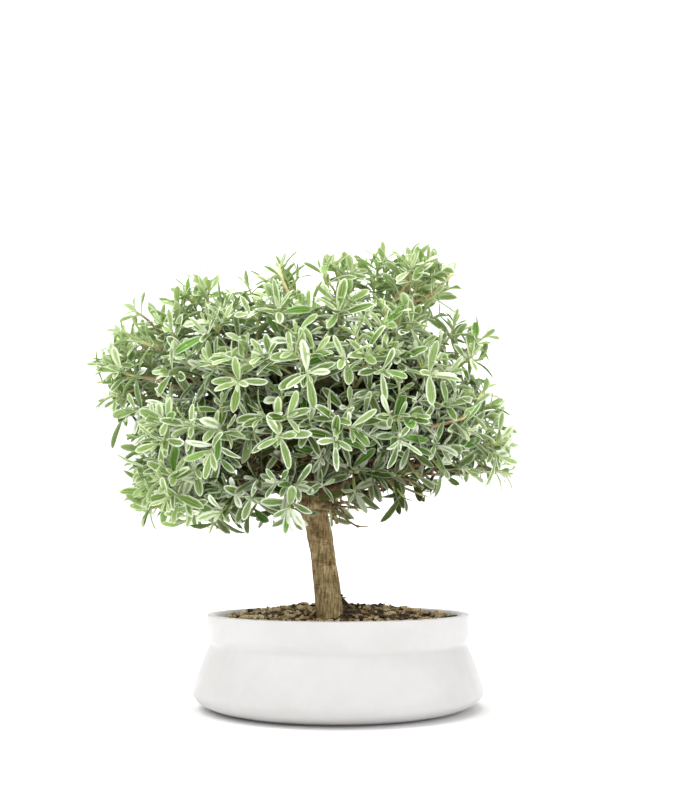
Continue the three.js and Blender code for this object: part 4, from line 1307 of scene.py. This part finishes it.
def twig_line(bough, plan):
    """The line of a twig: from the bough that feeds it to the root of the spray's stem."""
    curve = through(BOUGHS[bough]["points"])
    tries = round((1 - TWIG["nearest"]) / TWIG["step"])
    best = None
    for i in range(tries + 1):
        u = lerp(TWIG["nearest"], 1, i / tries)
        start = curve(u)
        way = plan["base"] - start
        reach = np.linalg.norm(way)
        cost = reach + TWIG["turn_cost"] * (1 - unit(way) @ tangent(curve, u))
        if best is None or cost < best[0]:
            best = cost, start, reach
    _, start, reach = best
    before = plan["base"] - plan["heading"] * (TWIG["lead"] * reach)
    return bezier(start, before, plan["base"] + plan["heading"]), reach


def raise_bark(piece):
    """Raises bark on a wood mesh: long ridges up the stems, low lumps, shallow folds and creases."""
    mesh = piece.data
    count = len(mesh.vertices)
    co, no = np.zeros(count * 3), np.zeros(count * 3)
    mesh.vertices.foreach_get("co", co)
    mesh.vertices.foreach_get("normal", no)
    co, no = co.reshape(-1, 3) / MM, no.reshape(-1, 3)
    lift, crease = np.zeros(count), np.zeros(count)
    for i, (x, y, z) in enumerate(co):
        ridge, lump, fold = (Vector((x / across, y / across, z / along)) for across, along in BARK["sizes"])
        ridges, lumps = noise.fractal(ridge, *BARK["fractal"]), noise.noise(lump)
        folds = noise.noise(fold) * bump(z, *BARK["fork"])
        level = z + BARK["waver"] * lumps + BARK["slant"] * x
        crease[i] = max(w * bump(level, at, reach) for at, reach, w in CREASES)
        raised = BARK["ridges"] * ridges + BARK["lumps"] * lumps + BARK["folds"] * folds
        lift[i] = BARK["depth"] * raised - BARK["creases"] * crease[i]
    mesh.vertices.foreach_set("co", ((co + no * lift[:, None]) * MM).ravel())
    mesh.attributes.new(CREASE, "FLOAT", "POINT").data.foreach_set("value", crease)
    mesh.update()


def make_trunk(material):
    """The trunk, boughs and stub as one skin."""
    parts = [tube(*trunk_list(), LIMBS["trunk"][1])]
    parts += [tube(*bough_list(kind), LIMBS["bough"][1]) for kind in BOUGHS.values()]
    parts.append(limb(STUB, *LIMBS["stub"]))
    piece = make_object("trunk_and_boughs", *gather(parts), [material])
    remesh = piece.modifiers.new("one skin", "REMESH")
    remesh.mode = "VOXEL"
    remesh.voxel_size = SKIN["fineness"] * MM
    smooth = piece.modifiers.new("soft joints", "SMOOTH")
    smooth.iterations = SKIN["smooth_steps"]
    smooth.factor = SKIN["smooth"]
    applied(piece)
    raise_bark(piece)
    piece.data.polygons.foreach_set("use_smooth", [True] * len(piece.data.polygons))
    return piece


def leafless_twigs(rng):
    """Thin leafless twigs inside the head, with two forks each."""
    parts = []
    bearers = [(kind["points"], LEAFLESS["lift"]) for kind in BOUGHS.values()]
    bearers += [([row[:3] for row in rows], LEAFLESS["side_lift"]) for rows in SIDE_BOUGHS]
    for points, lift in bearers:
        curve = through(points)
        for _ in range(LEAFLESS["count"]):
            t = rng.uniform(*LEAFLESS["at"])
            start, along = curve(t), tangent(curve, t)
            away = unit(rng.normal(0, 1, 3) + along * LEAFLESS["along"] + UP * lift)
            reach = rng.uniform(*LEAFLESS["reach"])
            bend = rng.normal(0, 1, 3) * LEAFLESS["bend"] * reach
            line = bezier(start, start + away * reach * 0.5 + bend, start + away * reach)
            parts.append(tapered(line, rng.uniform(*LEAFLESS["radius"]), LEAFLESS["end"], *LIMBS["leafless"]))
            for _ in range(LEAFLESS["forks"]):
                at = rng.uniform(*LEAFLESS["fork_at"])
                fork = unit(tangent(line, at) + rng.normal(0, LEAFLESS["fork_turn"], 3))
                side, root = rng.uniform(*LEAFLESS["fork_reach"]), line(at)
                small = bezier(root, root + fork * side * 0.5 + rng.normal(0, 1, 3), root + fork * side)
                parts.append(tapered(small, *LEAFLESS["fork_radius"], *LIMBS["fork"]))
    return parts


def tapered(line, first, last, rings, sides):
    steps = np.linspace(0, 1, rings)
    return tube([line(t) for t in steps], [lerp(first, last, t) for t in steps], sides)


def make_twigs(sprays, material):
    """The twigs that feed the sprays, the bare ones at the fork, the side boughs and the leafless twigs."""
    parts = []
    for _, bough, plan in sprays:
        line, reach = twig_line(bough, plan)
        steps = np.linspace(0, 1, max(TWIG["least_rings"], int(reach / TWIG["ring_step"])))
        radii = [lerp(*TWIG["radius"], t) * flare(t, *TWIG["flare"]) for t in steps]
        parts.append(tube([line(t) for t in steps], radii, TWIG["sides"]))
    parts += [limb(rows, *LIMBS["bare"]) for rows in BARE_TWIGS]
    parts += [limb(rows, *LIMBS["side"]) for rows in SIDE_BOUGHS]
    parts += leafless_twigs(np.random.RandomState(SEEDS["leafless"]))
    return make_object("twigs", *gather(parts), [material])


# Soil

def soil_height(x, y):
    """The height of the soil at a place, before its chips: a mound with low waves in it."""
    r = min(math.hypot(x, y) / MOUND["reach"], MOUND["edge"])
    inward = 1 - r * r
    waves = WAVES["broad"] * math.sin(x / WAVES["broad_size"][0] + 1) * math.cos(y / WAVES["broad_size"][1])
    waves += WAVES["fine"] * math.sin(x / WAVES["fine_size"][0] - y / WAVES["fine_size"][1])
    front, back = MOUND["bank"]
    share = min(max((y - front) / (back - front), 0), 1)
    banked = lerp(MOUND["low"], 1, share * share * (3 - 2 * share))
    from_heap = math.hypot(x - HEAP["place"][0], y - HEAP["place"][1])
    heap = HEAP["rise"] * bump(from_heap, 0, HEAP["reach"])
    rise = MOUND["rise"] * banked * inward ** MOUND["power"]
    return SOIL_EDGE + rise - MOUND["sunk"] + waves * inward + heap


def make_soil(material):
    """The soil's crumbly top, and its plain sides and foot down in the pot."""
    sides, rings = SOIL_SIDES, SOIL_RINGS
    points, faces = [(0, 0, soil_height(0, 0))], []
    for i in range(1, rings + 1):
        for x, y, _ in ring(SOIL_RADIUS * (i / rings) ** SOIL_SPREAD, 0, sides):
            crumb = noise.fractal(Vector((x / CRUMB["size"], y / CRUMB["size"], 3)), *CRUMB["fractal"])
            points.append((x, y, soil_height(x, y) + CRUMB["rise"] * crumb))
    for r, z in SOIL_FOOT:
        points += ring(r, z, sides)
    bands = rings + len(SOIL_FOOT)
    for k in range(sides):
        faces.append((0, 1 + k, 1 + (k + 1) % sides))
        for i in range(bands - 1):
            a, b = 1 + i * sides + k, 1 + i * sides + (k + 1) % sides
            faces.append((a, a + sides, b + sides, b))
    faces.append(tuple(1 + (bands - 1) * sides + k for k in range(sides))[::-1])
    return make_object("soil_bed", points, faces, [material])


def flake(size, rng):
    """A bark flake: a flat lump with an uneven outline, rounded a little at its edges."""
    sides = rng.randint(*FLAKE["sides"])
    stray = rng.uniform(0, 2 * math.pi, sides) * FLAKE["stray"]
    turns = np.sort(stray + np.arange(sides) * 2 * math.pi / sides * FLAKE["spread"])
    reach = rng.uniform(*FLAKE["reach"], sides)
    points = []
    for share, level in FLAKE_RINGS:
        for turn, far in zip(turns, reach):
            points.append((
                size[0] / 2 * far * share * math.cos(turn),
                size[1] / 2 * far * share * math.sin(turn),
                size[2] * (level + rng.uniform(*FLAKE["waver"])),
            ))
    faces = [tuple(range(sides)), tuple(3 * sides + k for k in range(sides))[::-1]]
    for i in range(len(FLAKE_RINGS) - 1):
        for k in range(sides):
            a, b = i * sides + k, i * sides + (k + 1) % sides
            faces.append((a, a + sides, b + sides, b))
    return np.array(points), faces


def turned(points, x, y, z):
    """Points turned about X, then Y, then Z."""
    for axis, angle in enumerate((x, y, z)):
        c, s = math.cos(angle), math.sin(angle)
        a, b = (axis + 1) % 3, (axis + 2) % 3
        moved = points.copy()
        moved[:, a], moved[:, b] = points[:, a] * c - points[:, b] * s, points[:, a] * s + points[:, b] * c
        points = moved
    return points


def large_chips(rng):
    """The large flakes, on a spiral round the trunk."""
    draw = drawer(CHIPS["seed"])
    spread = spreader(draw)
    for i in range(CHIPS["count"]):
        share = math.sqrt((i + 0.5) / CHIPS["count"])
        r = lerp(CHIPS["nearest"], CHIPS["farthest"], share) + spread(CHIPS["shift"] / 2)
        turn = i * CHIPS["turn_step"] + draw()
        x, y = r * math.cos(turn) + TRUNK[0][0], r * math.sin(turn)
        size = [length * (1 + spread(CHIPS["size_spread"])) for length in CHIPS["size"]]
        spin = spread(CHIPS["tilt"]), spread(CHIPS["tilt"]), math.pi * draw()
        points, faces = flake(size, rng)
        yield turned(points, *spin) + (x, y, soil_height(x, y) + CHIPS["proud"]), faces


def small_chips(rng):
    """Small flakes scattered over the whole bed."""
    for _ in range(SMALL_CHIPS["count"]):
        r = SMALL_CHIPS["reach"] * math.sqrt(rng.uniform(SMALL_CHIPS["nearest"], 1))
        turn = rng.uniform(0, 2 * math.pi)
        x, y = r * math.cos(turn), r * math.sin(turn)
        length = lerp(*SMALL_CHIPS["length"], rng.uniform() ** 2)
        width, thickness = length * rng.uniform(*SMALL_CHIPS["width"]), rng.uniform(*SMALL_CHIPS["thickness"])
        points, faces = flake((length, width, thickness), rng)
        spin = *rng.normal(0, SMALL_CHIPS["tilt"], 2), rng.uniform(0, math.pi)
        lift = rng.uniform(*SMALL_CHIPS["lift"])
        yield turned(points, *spin) + (x, y, soil_height(x, y) + lift), faces


def make_chips(materials):
    rng = np.random.RandomState(SEEDS["chips"])
    parts = [*large_chips(rng), *small_chips(rng)]
    piece = make_object("bark_chips", *gather(parts), materials, smooth=False)
    kinds = []
    for points, faces in parts:
        x, y, _ = points.mean(0)
        black, tan = next(shares for least_x, least_y, *shares in CHIP_SHARES if x > least_x and y > least_y)
        pick = rng.uniform()
        kinds += [2 if pick < black else 0 if pick > 1 - tan else 1] * len(faces)
    piece.data.polygons.foreach_set("material_index", kinds)
    return piece


# Pot

def make_pot(material):
    """The pot, turned from its outline and bored for its two drain holes."""
    outline = [*POT_FOOT, *POT_OUTSIDE, *POT_LIP, *POT_INSIDE, *POT_FLOOR]
    rings = outline[1:-1]
    points, faces = [(0, 0, outline[0][1])], []
    for r, z in rings:
        points += ring(r, z, POT_SIDES)
    points.append((0, 0, outline[-1][1]))
    last, top = len(points) - 1, 1 + (len(rings) - 1) * POT_SIDES
    for k in range(POT_SIDES):
        n = (k + 1) % POT_SIDES
        faces.append((0, 1 + n, 1 + k))
        for i in range(len(rings) - 1):
            a, b = 1 + i * POT_SIDES + k, 1 + i * POT_SIDES + n
            faces.append((a, b, b + POT_SIDES, a + POT_SIDES))
        faces.append((top + k, top + n, last))
    piece = make_object("glazed_pot", points, faces, [material])
    for x in DRAIN_HOLES:
        run = [(x, 0, z) for z in DRAIN_BORE]
        bore = make_object("bore", *tube(run, [DRAIN_RADIUS] * 2, DRAIN_SIDES), [material])
        cut = piece.modifiers.new("drain hole", "BOOLEAN")
        cut.operation = "DIFFERENCE"
        cut.solver = "EXACT"
        cut.object = bore
        applied(piece)
        bpy.data.objects.remove(bore)
    piece.data.polygons.foreach_set("use_smooth", [True] * len(piece.data.polygons))
    piece.data.set_sharp_from_angle(angle=math.radians(POT_SHARP))
    return piece


def make_pad(name, x, material):
    """A drain mesh pad: two layers of thin crossing bars."""
    parts = []
    half = PAD_WIDTH / 2
    low, high = PAD_LAYERS
    for i in range(PAD_BARS):
        at = lerp(-half + PAD_BAR, half - PAD_BAR, i / (PAD_BARS - 1))
        parts.append(tube([(x - half, at, low), (x + half, at, low)], [PAD_BAR / 2] * 2, 8))
        parts.append(tube([(x + at, -half, high), (x + at, half, high)], [PAD_BAR / 2] * 2, 8))
    return make_object(name, *gather(parts), [material])


# The stage

def make_stage():
    """A pale floor that sweeps up behind, soft lights and the camera."""
    points = [(x, y, z - FLOOR_DROP) for y, z in FLOOR for x in (-FLOOR_HALF, FLOOR_HALF)]
    faces = [(2 * i, 2 * i + 1, 2 * i + 3, 2 * i + 2) for i in range(len(FLOOR) - 1)]
    floor = make_object("floor", points, faces, [floor_finish()])
    floor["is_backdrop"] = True
    world = bpy.data.worlds.new("soft light")
    world.use_nodes = True
    bpy.context.scene.world = world
    sky = world.node_tree.nodes["Background"].inputs
    sky["Color"].default_value = (1, 1, 1, 1)
    sky["Strength"].default_value = WORLD_LIGHT
    for name, (place, at, size, power) in LIGHTS.items():
        light = bpy.data.lights.new(name, "AREA")
        light.shape = "DISK"
        light.size = size * MM
        light.energy = power
        lamp = bpy.data.objects.new(name, light)
        lamp.location = Vector(place) * MM
        aim = Vector(at) * MM - lamp.location
        lamp.rotation_euler = aim.to_track_quat("-Z", "Y").to_euler()
        bpy.context.scene.collection.objects.link(lamp)
    camera = bpy.data.objects.new("camera", bpy.data.cameras.new("camera"))
    camera.location = Vector(CAMERA_PLACE) * MM
    camera.rotation_euler = (math.radians(90 + CAMERA_PITCH), 0, math.radians(-CAMERA_YAW))
    camera.data.lens = CAMERA_LENS
    bpy.context.scene.collection.objects.link(camera)
    bpy.context.scene.camera = camera
    bpy.context.scene.view_settings.view_transform = "Standard"


def dress():
    """Makes every piece, attaches it to the root body, and hides the CAD parts that it stands for."""
    bark = bark_finish("trunk_bark", srgb(80, 60, 30), srgb(162, 138, 92), srgb(230, 208, 160), 1.0)
    twig_bark = bark_finish("twig_bark", srgb(78, 58, 36), srgb(128, 104, 68), srgb(176, 150, 106), 1.8)
    glaze, plastic, soil = glaze_finish(), plastic_finish(), soil_finish()
    chips = [
        chip_finish("tan_chip", (176, 148, 100), (226, 204, 160), (246, 234, 204)),
        chip_finish("brown_chip", (118, 92, 52), (184, 154, 104), (220, 196, 148)),
        chip_finish("black_chip", (20, 17, 11), (40, 33, 22), (78, 66, 46)),
    ]
    sprays = plan_sprays()
    made = [
        (make_pot(glaze), "pot", ["pot"]),
        (make_pad("drain_pad_left", DRAIN_HOLES[0], plastic), "mesh", ["drain_mesh_left"]),
        (make_pad("drain_pad_right", DRAIN_HOLES[1], plastic), "mesh", ["drain_mesh_right"]),
        (make_soil(soil), "soil", ["soil"]),
        (make_chips(chips), "soil", []),
        (make_trunk(bark), "bark", ["trunk_and_branches"]),
        (make_twigs(sprays, twig_bark), "bark", []),
    ]
    leafy = [leaf_finish(), stem_finish()]
    for i, (name, _, plan) in enumerate(sprays):
        leaves, shoots = plan["leaves"], plan["shoots"]
        piece = make_leafy(name.replace("spray", "leafy"), leaves, shoots, i, FINE_BLADE, leafy)
        made.append((piece, "leaf", [name]))
    shoots, leaves = long_shoots()
    seed = SEEDS["long_leaves"]
    made.append((make_leafy("long_shoots", leaves, shoots, seed, FINE_BLADE, leafy), "leaf", []))
    for i, bough in enumerate(BOUGHS):
        shoots, leaves = inner_shoots(bough, sprays, np.random.RandomState(SEEDS["inner"] + i))
        seed = SEEDS["inner_leaves"] + i
        piece = make_leafy("inner_" + bough, leaves, shoots, seed, PLAIN_BLADE, leafy)
        made.append((piece, "leaf", []))
    for piece, slot, nodes in made:
        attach(piece, "root")
        if nodes:
            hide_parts(*nodes)


make_stage()
dress()
boxes = {"cad": cad_box, "visual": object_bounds()}
{name: [list(corner) for corner in box] for name, box in boxes.items()}
